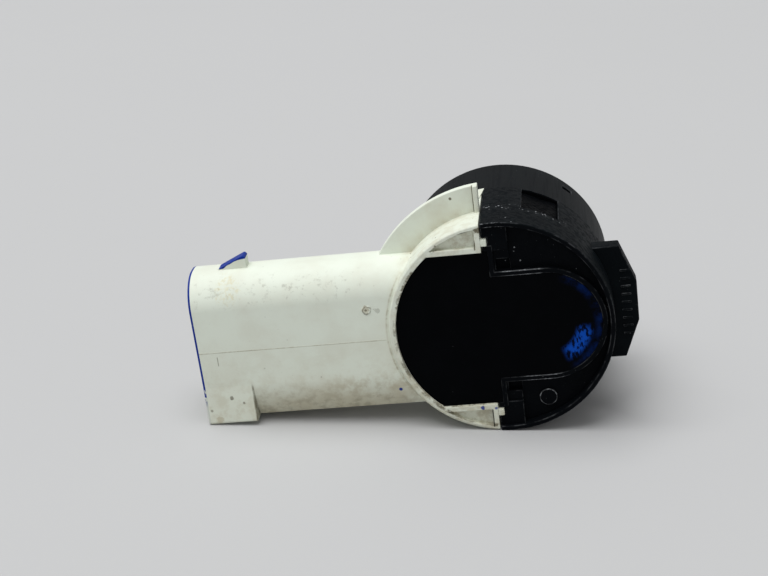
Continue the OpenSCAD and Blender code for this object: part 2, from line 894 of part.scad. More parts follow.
module protection_diode() {
    diode_x = resistor_len / 2 + part_space + diode_len / 2;
    diode_z = tongue_half - ledge_w - diode_space - diode_w / 2;
    color([0.18, 0.18, 0.18]) board_part(diode_x, diode_z, diode_len, diode_w, diode_h);
}

// A blade from the socket to the board's rear face
module terminal(z) {
    color("gold") slab(board_y - blade_t, board_y) polygon([
        [blade_tip_x, z - blade_point / 2],
        [blade_tip_x + blade_tip, z - blade_w / 2],
        [blade_end_x, z - blade_w / 2],
        [blade_end_x, z + blade_w / 2],
        [blade_tip_x + blade_tip, z + blade_w / 2],
        [blade_tip_x, z + blade_point / 2]
    ]);
}

module supply_terminal() {
    terminal(blade_places[2]);
}

module signal_terminal() {
    terminal(blade_places[1]);
}

module ground_terminal() {
    terminal(blade_places[0]);
}

connector_housing();
main_housing();
front_sleeve();
potting_fill();
membrane_pot();
decoupling_ring();
piezo_disc();
damping_felt();
pot_sealant();
contact_carrier();
hot_contact();
return_contact();
hot_wire();
return_wire();
circuit_board();
control_chip();
transformer_core();
transformer_bobbin();
transformer_winding();
supply_capacitor();
filter_capacitors();
resistors();
protection_diode();
supply_terminal();
signal_terminal();
ground_terminal();
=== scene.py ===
"""Looks of the parking sensor: finishes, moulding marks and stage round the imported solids."""

import json
import math

import bmesh
import bpy
from mathutils import Matrix, Vector, noise
from mathutils.bvhtree import BVHTree


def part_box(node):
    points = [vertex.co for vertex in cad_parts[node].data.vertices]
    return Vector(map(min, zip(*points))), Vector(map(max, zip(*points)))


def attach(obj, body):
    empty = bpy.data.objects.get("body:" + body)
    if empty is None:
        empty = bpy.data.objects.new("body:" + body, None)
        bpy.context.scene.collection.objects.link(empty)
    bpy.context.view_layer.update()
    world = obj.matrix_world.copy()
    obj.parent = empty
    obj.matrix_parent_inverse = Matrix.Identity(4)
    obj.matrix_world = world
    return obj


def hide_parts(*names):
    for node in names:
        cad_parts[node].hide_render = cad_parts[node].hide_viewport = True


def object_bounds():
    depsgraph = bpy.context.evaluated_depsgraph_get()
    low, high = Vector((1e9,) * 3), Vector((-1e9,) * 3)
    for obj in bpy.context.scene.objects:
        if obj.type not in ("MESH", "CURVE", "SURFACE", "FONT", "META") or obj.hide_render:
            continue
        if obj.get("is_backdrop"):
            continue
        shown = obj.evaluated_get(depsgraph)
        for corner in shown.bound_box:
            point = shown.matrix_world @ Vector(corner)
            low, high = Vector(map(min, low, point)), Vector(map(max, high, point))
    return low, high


bl_info = {
    "name": "Parking sensor looks",
    "version": (1, 0, 0),
    "blender": (4, 5, 0),
    "location": "View3D > Sidebar > Sensor",
    "description": "Finishes and moulding details of a parking sensor",
    "category": "Object",
}

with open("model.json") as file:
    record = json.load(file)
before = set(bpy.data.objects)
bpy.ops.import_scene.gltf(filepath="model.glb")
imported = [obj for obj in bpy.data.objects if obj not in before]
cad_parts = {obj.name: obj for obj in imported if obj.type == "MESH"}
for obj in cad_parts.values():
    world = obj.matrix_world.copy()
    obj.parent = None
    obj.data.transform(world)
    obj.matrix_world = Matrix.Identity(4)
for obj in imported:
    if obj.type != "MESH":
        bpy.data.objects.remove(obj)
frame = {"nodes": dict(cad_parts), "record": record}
CAD_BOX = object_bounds()
MM = 0.001
PER_MM = 1.0 / MM
ORIGIN = (0.0, 0.0, 0.0)
# Points closer than MERGE become one, and places closer than TOUCH count as the same
MERGE = 0.001 * MM
TOUCH = 0.01 * MM
# Faces that turn by less than FLAT become one, and those that turn by more than SHARP meet in an edge
FLAT = math.radians(0.5)
SHARP = math.radians(50)


def length(label, text, mm):
    """A size in metres whose default is given in millimetres."""
    return bpy.props.FloatProperty(
        name=label, description=text, default=mm * MM, precision=6, subtype="DISTANCE", unit="LENGTH")


def angle(label, text, degrees):
    """An angle whose default is given in degrees."""
    return bpy.props.FloatProperty(
        name=label, description=text, default=math.radians(degrees), subtype="ANGLE", unit="ROTATION")


def power(label, text, watts):
    """The power of a lamp."""
    return bpy.props.FloatProperty(name=label, description=text, default=watts, min=0.0, unit="POWER")


def tint(label, text, rgb):
    """A linear colour."""
    return bpy.props.FloatVectorProperty(
        name=label, description=text, default=rgb, min=0.0, max=1.0, size=3, subtype="COLOR")


class SensorSizes(bpy.types.PropertyGroup):
    """Sizes of the small forms that the looks add to the moulded shapes."""
    pale_edge: length("Pale edges", "Rounding of the pale moulding's edges", 0.1)
    dark_edge: length("Dark edges", "Rounding of the dark moulding's edges", 0.1)
    fine_edge: length("Fine edges", "Rounding of metal and soft edges", 0.06)
    seam_width: length("Seam width", "Width of the mould seam on the connector", 0.14)
    seam_height: length("Seam height", "How far the mould seam stands out", 0.03)
    gate_radius: length("Gate radius", "Radius of the mark where the plastic was fed in", 0.55)
    creep_width: length("Creep width", "How far the fill's raised border reaches in from the walls", 0.9)
    creep_height: length("Creep height", "How far the fill climbs the walls", 0.2)
    rib_length: length("Rib length", "Length of the plain ribs on the lug", 1.1)
    rib_height: length("Rib height", "How far the plain ribs stand out of the lug", 0.12)
    ramp_round: length("Ramp rounding", "Rounding of the lock ramp's end", 0.33)
    tab_height: length("Tab height", "How far the pale tab stands out of the barrel", 0.12)
    window_rough: length("Window roughness", "Height of the rough floor in the barrel's window", 0.16)


class SensorColours(bpy.types.PropertyGroup):
    """Linear colours of the finishes."""
    pale: tint("Pale plastic", "Clean pale plastic", (0.785, 0.84, 0.74))
    pale_shade: tint("Pale shade", "Aged pale plastic", (0.705, 0.72, 0.615))
    # Also painted shade: low down, under the shroud, by the barrel, in the pockets and along the rim
    pale_dirt_and_shade: tint("Pale dirt", "Handled, soiled pale plastic", (0.52, 0.48, 0.35))
    # Also painted shade on the foot's end, in the pockets, along the rim and in the joint's upper gap
    brown: tint("Brown specks", "Specks and soil in the pale corners", (0.105, 0.087, 0.048))
    yellow: tint("Yellow stain", "Stain on the connector's top", (0.62, 0.52, 0.22))
    ink: tint("Blue ink", "Marking ink on the mouth and the ramp", (0.001, 0.026, 0.25))
    fill_ink: tint("Ink on the fill", "Marking ink on the cast fill", (0.005, 0.065, 0.42))
    # Also painted shade in the joint's lower gap on the pale moulding
    dark: tint("Dark plastic", "Dark moulded plastic", (0.0022, 0.0028, 0.0038))
    # Also a painted sheen: the dark barrel's outer wall is made lighter with it
    dark_worn_and_sheen: tint("Worn dark plastic", "Rubbed dark plastic", (0.0046, 0.0066, 0.0080))
    # Also painted highlights on the lit edges of the dark moulding
    dust_and_highlight: tint("Dust", "Dust and rubbed edges on dark plastic", (0.40, 0.42, 0.44))
    fill: tint("Cast fill", "Cast fill in the rear well", (0.0010, 0.0013, 0.0018))
    metal: tint("Satin metal", "Membrane pot", (0.72, 0.73, 0.74))
    metal_dull: tint("Dull metal", "Dull patches on the membrane pot", (0.5, 0.5, 0.5))
    floor: tint("Floor", "Plain pale floor", (0.53, 0.535, 0.54))


class SensorStage(bpy.types.PropertyGroup):
    """Camera and light."""
    azimuth: angle("Azimuth", "Camera's turn from behind the sensor", 8.46)
    elevation: angle("Elevation", "Camera's height angle", 21.26)
    roll: angle("Roll", "Camera's turn about its own line of sight", -7.80)
    distance: length("Distance", "Camera's distance from its target", 174.8)
    target: bpy.props.FloatVectorProperty(
        name="Target", description="Point that the camera looks at", size=3, subtype="TRANSLATION",
        default=(-13.71 * MM, -3.0 * MM, 2.36 * MM))
    lens: bpy.props.FloatProperty(
        name="Lens", description="Focal length in millimetres", default=70.3, min=1.0, unit="CAMERA")
    lean: angle("Lean", "Floor's slope under the sensor as it lies", 5.23)
    floor_radius: length("Floor radius", "Radius of the floor", 2200)
    key_power: power("Key light", "Power of the soft light overhead", 104.0)
    fill_power: power("Fill light", "Power of the soft light in front", 12.6)
    sky: bpy.props.FloatProperty(
        name="Sky", description="Strength of the light all round", default=0.3, min=0.0)
    sky_seen: bpy.props.FloatProperty(
        name="Seen sky", description="Strength of the sky as it is seen or reflected", default=0.56, min=0.0)


class Nodes:
    """One node tree, with short calls that add a node and join its inputs."""

    def __init__(self, tree):
        self.tree = tree

    def put(self, socket, value):
        """Joins a socket to another one, or sets its value."""
        if isinstance(value, bpy.types.NodeSocket):
            self.tree.links.new(value, socket)
        elif socket.type == "RGBA" and len(value) == 3:
            socket.default_value = (*value, 1.0)
        else:
            socket.default_value = value

    def add(self, kind, inputs=(), **settings):
        """A new node with these inputs and settings."""
        node = self.tree.nodes.new(kind if kind.startswith("Node") else "ShaderNode" + kind)
        for key, value in settings.items():
            setattr(node, key, value)
        for key, value in dict(inputs).items():
            self.put(node.inputs[key], value)
        return node

    def math(self, operation, *values):
        return self.add("Math", enumerate(values), operation=operation).outputs[0]

    def plus(self, first, second):
        return self.math("ADD", first, second)

    def minus(self, first, second):
        return self.math("SUBTRACT", first, second)

    def most(self, first, second):
        return self.math("MAXIMUM", first, second)

    def times(self, *values):
        result = values[0]
        for value in values[1:]:
            result = self.math("MULTIPLY", result, value)
        return result

    def length(self, first, second):
        """Length of a line that goes this far along two axes."""
        return self.math("SQRT", self.plus(self.times(first, first), self.times(second, second)))

    def mix(self, mask, first, second):
        return self.add("Mix", {0: mask, 6: first, 7: second}, data_type="RGBA").outputs[2]

    def layers(self, colour, *coats):
        """A colour under coats of other colours, each through its mask."""
        for mask, coat in coats:
            colour = self.mix(mask, colour, coat)
        return colour

    def ramp(self, value, low, high):
        """A mask that is 0 at one level of a value and 1 at the other."""
        return self.add(
            "MapRange", {"Value": value, "From Min": low, "From Max": high},
            interpolation_type="SMOOTHSTEP").outputs[0]

    def level(self, mask, low, high):
        """A value that goes from low to high with a mask."""
        return self.add("MapRange", {"Value": mask, "To Min": low, "To Max": high}).outputs[0]

    def use(self, group, **inputs):
        """The mask of a node group with these inputs."""
        node = self.add("Group", node_tree=group)
        for key, value in inputs.items():
            self.put(node.inputs[key], value)
        return node.outputs[0]

    def between(self, value, low, high, soft):
        return self.use(band(), Value=value, Low=low, High=high, Soft=soft)

    def patchy(self, place, scale, low, high):
        return self.use(blotch(), Vector=place, Scale=scale, Low=low, High=high)

    def flecks(self, place, scale, share, size):
        return self.use(speckle(), Vector=place, Scale=scale, Share=share, Size=size)

    def haze(self, place, scale, detail):
        """Smooth noise about MEAN."""
        return self.add("TexNoise", {"Vector": place, "Scale": scale, "Detail": detail}).outputs[0]

    def millimetres(self):
        """The place on the object, in millimetres."""
        place = self.add("TexCoord").outputs["Object"]
        return self.add("Mapping", {"Vector": place, "Scale": (PER_MM, PER_MM, PER_MM)}).outputs[0]

    def split(self, vector):
        return self.add("SeparateXYZ", {0: vector}).outputs[:3]

    def vector(self, operation, first, second):
        return self.add("VectorMath", {0: first, 1: second}, operation=operation).outputs

    def edge(self):
        """1 on rounded edges."""
        return self.add("Attribute", attribute_name="edge").outputs["Fac"]

    def bump(self, height, strength, depth):
        """Normals of a height whose depth is in millimetres."""
        return self.add("Bump", {"Height": height, "Strength": strength, "Distance": depth * MM}).outputs[0]


def mask_group(name, inputs, build):
    """A node group with named inputs and one Mask output, made once."""
    if name in bpy.data.node_groups:
        return bpy.data.node_groups[name]
    group = bpy.data.node_groups.new(name, "ShaderNodeTree")
    for label, kind, default in inputs:
        socket = group.interface.new_socket(label, in_out="INPUT", socket_type="NodeSocket" + kind)
        socket.default_value = default
    group.interface.new_socket("Mask", in_out="OUTPUT", socket_type="NodeSocketFloat")
    nodes = Nodes(group)
    entry = nodes.add("NodeGroupInput").outputs
    nodes.add("NodeGroupOutput", {0: build(nodes, entry)})
    return group


# A speck or stain is full within this share of its reach
CORE = 0.6
# Mean of a noise texture
MEAN = 0.5


def speckle():
    """Scattered round specks: a share of the cells holds one, of a size relative to the cell."""
    def build(nodes, entry):
        cells = nodes.add("TexVoronoi", {"Vector": entry["Vector"], "Scale": entry["Scale"]}).outputs
        draw = nodes.add("SeparateColor", {0: cells["Color"]}).outputs[0]
        dot = nodes.ramp(cells["Distance"], entry["Size"], nodes.times(entry["Size"], CORE))
        return nodes.times(nodes.math("LESS_THAN", draw, entry["Share"]), dot)
    return mask_group("speckle", (
        ("Vector", "Vector", ORIGIN), ("Scale", "Float", 1.0),
        ("Share", "Float", 0.1), ("Size", "Float", 0.1)), build)


def blotch():
    """Uneven cloudy patches between two levels of noise."""
    def build(nodes, entry):
        cloud = nodes.add("TexNoise", {
            "Vector": entry["Vector"], "Scale": entry["Scale"], "Detail": 5.0, "Roughness": 0.62})
        return nodes.ramp(cloud.outputs[0], entry["Low"], entry["High"])
    return mask_group("blotch", (
        ("Vector", "Vector", ORIGIN), ("Scale", "Float", 1.0),
        ("Low", "Float", 0.4), ("High", "Float", 0.6)), build)


def spot():
    """One stain round a point, with a ragged border."""
    def build(nodes, entry):
        reach = nodes.vector("DISTANCE", entry["Vector"], entry["Centre"])["Value"]
        cloud = nodes.haze(entry["Vector"], scale=2.5, detail=3.0)
        border = nodes.plus(reach, nodes.times(nodes.minus(cloud, MEAN), entry["Ragged"]))
        return nodes.ramp(border, entry["Radius"], nodes.times(entry["Radius"], CORE))
    return mask_group("spot", (
        ("Vector", "Vector", ORIGIN), ("Centre", "Vector", ORIGIN),
        ("Radius", "Float", 1.0), ("Ragged", "Float", 0.5)), build)


def band():
    """1 between two levels of a value, with soft ends."""
    def build(nodes, entry):
        value, low, high, soft = (entry[name] for name in ("Value", "Low", "High", "Soft"))
        begin = nodes.ramp(value, nodes.minus(low, soft), nodes.plus(low, soft))
        end = nodes.ramp(value, nodes.plus(high, soft), nodes.minus(high, soft))
        return nodes.times(begin, end)
    return mask_group("band", (
        ("Value", "Float", 0.0), ("Low", "Float", 0.0),
        ("High", "Float", 1.0), ("Soft", "Float", 0.05)), build)


def grain():
    """Height of a fine moulded grain with wider pits in it."""
    pit_scale, pit_share = 0.7, 0.6

    def build(nodes, entry):
        fine = nodes.haze(entry["Vector"], entry["Scale"], detail=3.0)
        pits = nodes.add("TexVoronoi", {
            "Vector": entry["Vector"], "Scale": nodes.times(entry["Scale"], pit_scale)}).outputs["Distance"]
        return nodes.plus(fine, nodes.times(pits, pit_share))
    return mask_group("grain", (("Vector", "Vector", ORIGIN), ("Scale", "Float", 6.0)), build)


def box_of(node):
    """The two corners of a solid's box, to a hundredth of a millimetre."""
    return [[round(place * PER_MM, 2) for place in corner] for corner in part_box(node)]


def middle_of(node):
    """The middle of a solid's box, in millimetres."""
    low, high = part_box(node)
    return (low + high) * (0.5 * PER_MM)


# Places and sizes in millimetres: those of the mouldings as the frame and the part's source have them, and
# those of the marks as the photograph shows them
LUG_END, _, BARREL = box_of("main_housing")[1]
MOUTH = box_of("connector_housing")[0][0]
SHROUD = middle_of("signal_terminal")
SHROUD_DEPTH = 8.4
SHROUD_HEIGHT = 17.4
SHROUD_ROUND = 3.8
SHROUD_TOP = SHROUD.z + SHROUD_HEIGHT / 2
SHROUD_BOTTOM = SHROUD.z - SHROUD_HEIGHT / 2
NEAR_WALL = SHROUD.y - SHROUD_DEPTH / 2
BELLY_ROUND = 8.0
BELLY_START = SHROUD.z - 4.2
RAMP_LENGTH = 3.4
RAMP_HEIGHT = 1.4
RAMP_CREST = 0.35
RAMP_SLOPE = RAMP_HEIGHT / (RAMP_LENGTH - RAMP_CREST)
RAMP_FOOT = MOUTH + 3.2
RAMP_END = RAMP_FOOT + RAMP_LENGTH
FOOT_HEIGHT = 4.6
FOOT_ROUND = 0.35
FOOT_PROUD = 0.25
FOOT_END = MOUTH + 5.8
FOOT_TOP = SHROUD_BOTTOM - FOOT_PROUD + FOOT_HEIGHT
WINDOW_TURN = math.radians(65)
WINDOW_DEPTH = 0.7
BOSS_REACH = 10.1
BOSS_TURN = math.radians(-64)
BOSS = (BOSS_REACH * math.cos(BOSS_TURN), 0.0, BOSS_REACH * math.sin(BOSS_TURN))
SEAM_Z = -0.45
GATE = (-14.7, 0.0, 3.3)
INK_CENTRE = (5.05, 0.0, 0.0)
YELLOW_CENTRE = (-30.3, 0.0, 6.6)

# Ink: how far in from the shroud's corners, belly and bottom it starts, the width of its border there, how
# far it runs down at the ramp's ends, and how ragged it is
CORNER_INK, BELLY_INK, BOTTOM_INK = 0.5, 0.45, 0.6
INK_BORDER = 0.2
INK_SAG = 0.36
INK_RAGGED = 0.2
# How ragged the cracks' painted shade and the gate's ring are, and how much further the tongue's painted
# highlight runs on its lower edge
CRACK_RAGGED = 0.12
GATE_RAGGED = 0.45
LOWER_SHIFT = 1.4
# How strong the coarse grain is on the pockets' floors, and how much stronger in the window
FLOOR_GRAIN = 2.5
WINDOW_GRAIN = 1.6

# Where marks lie. A zone is one or more spans: the axis, from, to, and half the width of its soft borders.
# Axes are x, y, z, the radius about the sensor's axis and the side (z without its sign), in millimetres, the
# turn about that axis in radians, the rounded edges, and those that a finish adds. FAR leaves a side open.
FAR = 100.0
NEAR_SIDE = ("y", -FAR, -11.0, 0.2)
BY_BARREL = ("x", 0.2 - BARREL, FAR, 1.3)
IN_BARREL = ("radius", -FAR, BARREL + 0.6, 0.5)
OUTER_WALL = ("radius", BARREL - 0.125, FAR, 0.075)
# Painted shade in the gaps beside the joint's post
JOINT_CRACK_SHADE = ("ragged_x", -1.95, -1.8, 0.02)
EDGES = ("edge", 0.5, FAR, 0.5)

PALE_ZONES = {
    "near": (NEAR_SIDE,),
    # Painted shade: the pale plastic is made darker towards the bottom; specks also lie low down
    "low": (("z", -FAR, -4.0, 6.0),),
    # Soil and painted shade on the pale cup by the barrel; specks also lie here
    "barrel": (BY_BARREL, IN_BARREL),
    # Soil and painted shade on the pocket floors
    "corners": (("y", -12.2, -10.6, 0.06), ("radius", -FAR, 12.05, 0.15)),
    "ear": (("y", -8.4, -7.7, 0.1), ("radius", BARREL, FAR, 0.1), BY_BARREL),
    "ear_back": (("radius", BARREL + 0.5, FAR, 0.1), ("y", -FAR, -7.6, 0.1)),
    "ear_line": (("x", -1.96, -1.83, 0.03), ("radius", BARREL + 0.05, FAR, 0.05), ("y", -8.5, -7.6, 0.05)),
    "inner_rim": (("radius", 11.6, 12.0, 0.12), ("y", -FAR, -12.075, 0.075), BY_BARREL, IN_BARREL),
    # Painted shade in a line along the rim's outer edge on the near wall
    "rim_shade_line": (("radius", BARREL + 0.2, BARREL + 0.36, 0.1), ("x", -FAR, -8.5, 0.5), NEAR_SIDE),
    "wall_top": (("z", -9.12, -8.88, 0.04), ("x", -8.5, -1.3, 0.2), NEAR_SIDE),
    # Painted shade in the gaps beside the joint's post, low and high
    "low_crack_shade": (JOINT_CRACK_SHADE, ("z", -11.9, -9.8, 0.06), NEAR_SIDE),
    "high_crack_shade": (JOINT_CRACK_SHADE, ("z", 9.5, 10.4, 0.1), NEAR_SIDE),
    "gate_ring": (("gate", 0.38, 0.52, 0.1), NEAR_SIDE),
    "seam": (("z", SEAM_Z - 0.05, SEAM_Z + 0.04, 0.02), ("x", -FAR, -BARREL - 0.4, 0.3), NEAR_SIDE),
    "scratch": (("x", MOUTH + 2.24, MOUTH + 2.34, 0.02), ("z", -2.1, -1.0, 0.1), NEAR_SIDE),
    "top_smears": (("z", 5.0, 7.6, 0.9), ("y", -FAR, -9.5, 0.5), ("x", -FAR, -15.0, 1.0)),
    # Painted shade in wide patches low on the shroud's near wall
    "lower_wall": (("z", -7.6, -5.0, 1.2), ("x", -21.5, FAR, 5.5), NEAR_SIDE),
    # Painted shade under the shroud beyond the foot, with brown soil in it
    "underside_shade_and_soil": (("z", -FAR, -6.5, 1.9), ("x", FOOT_END + 0.05, FAR, 0.35), ("x", -FAR, -11.0, 2.0)),
    # Painted shade with brown soil on the foot's end face
    "foot_end": (
        ("x", FOOT_END - 0.12, FOOT_END + 0.1, 0.06), ("z", -FAR, FOOT_TOP - 0.15, 0.5),
        ("y", -FAR, -9.0, 0.5)),
    "mouth": (("x", MOUTH + 0.01, MOUTH + 0.26, 0.01),),
    "mouth_top": (("z", -6.5, FAR, 0.9),),
    "ramp_top": (
        ("ink_run", -0.01, FAR, 0.05), ("x", RAMP_FOOT - 0.15, FAR, 0.15),
        ("x", -FAR, RAMP_END + 0.15, 0.05), ("z", SHROUD_TOP + 0.07, FAR, 0.03)),
}
DARK_ZONES = {
    # Painted sheen: the outer wall is made lighter
    "outer": (OUTER_WALL,),
    "floors": (("y", -11.6, -10.4, 0.1), ("radius", -FAR, 11.95, 0.15)),
    # Dust on the rounded edges, with a painted highlight
    "edges": (EDGES,),
    # Painted highlight on the tongue wall's lit edges
    "tongue": (("side", 5.8, 6.9, 0.1), ("y", -FAR, -11.65, 0.05), ("along", 0.8, 4.8, 0.5), EDGES),
    "boss": (("boss_reach", -FAR, 1.2, 0.1), EDGES),
    "ribs": (("x", LUG_END - 1.9, LUG_END - 0.6, 0.1), ("side", -FAR, 4.45, 0.15), EDGES),
    # Painted highlight on the lit edges of the crown
    "crown": (("x", -1.1, 1.1, 0.3), ("z", 11.05, FAR, 0.15), ("y", -FAR, -10.6, 0.2), EDGES),
    "scatter": (("x", 0.6, 3.0, 0.3), ("z", 7.3, FAR, 0.3), ("y", -FAR, -10.5, 0.1)),
    "swept": (("turn", math.radians(52), math.radians(94), 0.06), OUTER_WALL, ("y", -7.6, -6.5, 0.45)),
    "window": (
        ("turn", WINDOW_TURN - math.radians(12), WINDOW_TURN + math.radians(12), 0.01),
        ("radius", 11.4, 12.3, 0.05), ("y", -7.2, FAR, 0.1)),
}
# Radius and turn about the ink's centre
FILL_ZONES = {
    "patch": (("radius", 3.4, 4.9, 0.4), ("turn", math.radians(-62), math.radians(-10), 0.16)),
    "crescent": (("radius", 5.4, 6.3, 0.45), ("turn", math.radians(-60), math.radians(65), 0.2)),
}

# Flecks: cells to a millimetre, the share of the cells that hold one, and its size relative to the cell
PALE_FLECKS = {"specks": (0.95, 0.16, 0.12), "grit": (2.6, 0.07, 0.16)}
DARK_FLECKS = {
    "specks": (1.5, 0.10, 0.10),
    "grit": (3.4, 0.10, 0.16),
    "scattered": (1.9, 0.3, 0.2),
    "drift": (2.8, 0.6, 0.36),
}

# Cloudy patterns: scale per millimetre, and the levels of noise at which they start and are full
PALE_PATTERNS = {
    "cloud": (0.22, 0.36, 0.72),
    "patches": (0.9, 0.42, 0.66),
    "rim_spots": (1.1, 0.45, 0.62),
    "gate_breaks": (1.3, 0.4, 0.56),
    "crumbs": (1.6, 0.5, 0.58),
    "smears": (1.5, 0.54, 0.72),
    "stain": (2.2, 0.42, 0.64),
    "wide_low_shade": (0.45, 0.36, 0.62),
    "ink_breaks": (0.9, 0.28, 0.36),
}
DARK_PATTERNS = {
    "cloud": (0.35, 0.4, 0.75),
    "patches": (1.6, 0.44, 0.62),
    "edge_rubs_and_highlights": (0.8, 0.42, 0.66),
}

# Coats of soil, wear and painted shade from the first to the last: zone, pattern, weakest and strongest
# cover, colour
PALE_COATS = (
    ("all", "cloud", 0.0, 0.55, "pale_shade"),
    # Painted shade, darker towards the bottom
    ("low", "patches", 0.18, 0.5, "pale_dirt_and_shade"),
    # Soil and painted shade by the barrel
    ("barrel", "patches", 0.1, 0.4, "pale_dirt_and_shade"),
    ("ear", "cloud", 0.05, 0.3, "pale_dirt_and_shade"),
    # Soil and painted shade in the pockets
    ("corners", "patches", 0.12, 0.42, "pale_dirt_and_shade"),
    ("corners", "patches", 0.0, 0.16, "brown"),
    ("inner_rim", "rim_spots", 0.0, 0.85, "brown"),
    ("top_smears", "smears", 0.0, 0.3, "brown"),
    ("stained", "stain", 0.0, 0.35, "yellow"),
    # Painted shade under the shroud, then brown soil
    ("underside_shade_and_soil", "cloud", 0.55, 0.85, "pale_dirt_and_shade"),
    ("underside_shade_and_soil", "patches", 0.05, 0.3, "brown"),
    # Painted shade and soil on the foot's end
    ("foot_end", "patches", 0.35, 0.7, "brown"),
    ("ear_line", "patches", 0.7, 0.98, "brown"),
    ("wall_top", "crumbs", 0.0, 0.8, "brown"),
    # Painted shade in the joint's gaps
    ("low_crack_shade", "even", 0.0, 0.92, "dark"),
    ("high_crack_shade", "even", 0.0, 0.85, "brown"),
    # Painted shade along the rim's outer edge
    ("rim_shade_line", "patches", 0.3, 0.75, "pale_dirt_and_shade"),
    ("rim_shade_line", "patches", 0.05, 0.3, "brown"),
    # Painted shade low on the near wall
    ("lower_wall", "wide_low_shade", 0.0, 0.6, "pale_dirt_and_shade"),
    ("specks", "soiled", 0.12, 0.75, "brown"),
    ("grit", "soiled", 0.1, 0.6, "brown"),
    ("seam", "patches", 0.35, 0.75, "pale_dirt_and_shade"),
    ("seam", "patches", 0.1225, 0.2625, "dark_worn_and_sheen"),
    ("scratch", "even", 0.0, 0.6, "brown"),
)
# Coats over the stains
TOP_COATS = (
    ("gate_ring", "gate_breaks", 0.0, 0.75, "brown"),
    ("mouth", "ink_breaks", 0.0, 1.0, "ink"),
    ("ramp_top", "even", 0.0, 1.0, "ink"),
)
# Coats of wear and dust, with a painted sheen and painted highlights: zone, pattern, weakest and strongest
# cover, colour
DARK_COATS = (
    # Painted sheen on the outer wall
    ("outer", "cloud", 0.45, 0.95, "dark_worn_and_sheen"),
    ("all", "cloud", 0.0, 0.15, "dark_worn_and_sheen"),
    # Dust and painted highlight on the rounded edges
    ("edges", "edge_rubs_and_highlights", 0.0, 0.1, "dust_and_highlight"),
    # Painted highlight on the tongue's edges
    ("tongue", "patches", 0.255, 0.85, "dust_and_highlight"),
    ("boss", "patches", 0.1, 0.5, "dust_and_highlight"),
    ("ribs", "patches", 0.013, 0.13, "dust_and_highlight"),
    # Painted highlight on the crown's edges
    ("crown", "patches", 0.02, 0.4, "dust_and_highlight"),
    ("scattered", "even", 0.0, 0.6, "dust_and_highlight"),
    ("specks", "floors", 0.2, 0.3, "dust_and_highlight"),
    ("grit", "cloud", 0.03, 0.2, "dust_and_highlight"),
    ("drift", "even", 0.0, 0.85, "dust_and_highlight"),
    ("window", "even", 0.0, 0.9, "fill"),
)

# Stains seen from behind: place, reach and raggedness in millimetres, colour and cover
STAINS = (
    ((-14.78, 0.0, 3.38), 0.5, 0.9, "pale_dirt_and_shade", 0.65),
    ((-14.8, 0.0, 3.3), 0.16, 0.2, "brown", 0.7),
    ((-13.55, 0.0, 3.2), 0.42, 0.9, "brown", 0.3),
    ((-12.1, 0.0, -6.8), 0.26, 0.15, "ink", 0.97),
    ((-31.6, 0.0, -6.2), 0.3, 0.5, "brown", 0.7),
    ((-34.2, 0.0, -7.6), 0.2, 0.3, "brown", 0.55),
    ((-30.3, 0.0, -6.9), 0.2, 0.3, "brown", 0.6),
    ((-33.4, 0.0, -8.8), 0.5, 0.8, "pale_dirt_and_shade", 0.6),
    ((-4.4, 0.0, 14.1), 0.2, 0.15, "brown", 0.9),
    ((-1.45, 0.0, 11.7), 0.42, 0.9, "brown", 0.85),
    ((-3.0, 0.0, -9.45), 0.27, 0.3, "ink", 0.9),
    ((-1.5, 0.0, -9.6), 0.2, 0.2, "ink", 0.8),
)

# Refractive indices of the outer finishes, low where the real surface shows little gloss
INDEX = {"pale_plastic": 1.24, "dark_plastic": 1.09, "sleeve_plastic": 1.1, "cast_fill": 1.08}


def start(name):
    """A new material with its tree and its shader."""
    material = bpy.data.materials.new(name)
    material.use_nodes = True
    shader = material.node_tree.nodes["Principled BSDF"]
    if name in INDEX:
        shader.inputs["IOR"].default_value = INDEX[name]
    return material, Nodes(material.node_tree), shader


def axes_of(nodes, place):
    """The axes along which zones are given."""
    x, y, z = nodes.split(place)
    return {
        "x": x, "y": y, "z": z, "radius": nodes.length(x, z), "turn": nodes.math("ARCTAN2", z, x),
        "side": nodes.math("ABSOLUTE", z), "edge": nodes.edge()}


def masks_of(nodes, axes, zones):
    """A mask for each zone: 1 inside its spans and 0 outside them."""
    return {
        name: nodes.times(*(nodes.between(axes[axis], low, high, soft) for axis, low, high, soft in spans))
        for name, spans in zones.items()}


def patterns_of(nodes, place, looks):
    """A mask for each cloudy pattern, and an even one."""
    return {"even": 1.0} | {name: nodes.patchy(place, *look) for name, look in looks.items()}


def flecks_of(nodes, place, looks):
    """A mask for each kind of fleck."""
    return {name: nodes.flecks(place, *look) for name, look in looks.items()}


def coats_of(nodes, colours, coats, masks, patterns):
    """Masks and colours of a table of coats, in its order."""
    return [
        (nodes.times(masks[zone], nodes.level(patterns[pattern], weak, strong)), getattr(colours, colour))
        for zone, pattern, weak, strong, colour in coats]


def flat_reach(nodes, place, centre):
    """A place as seen from behind, and its distance from a point."""
    flat = nodes.vector("MULTIPLY", place, (1.0, 0.0, 1.0))["Vector"]
    return flat, nodes.vector("DISTANCE", flat, centre)["Value"]


def beyond(nodes, distance, limit):
    """How far a distance goes past a limit."""
    return nodes.most(nodes.minus(distance, limit), 0.0)


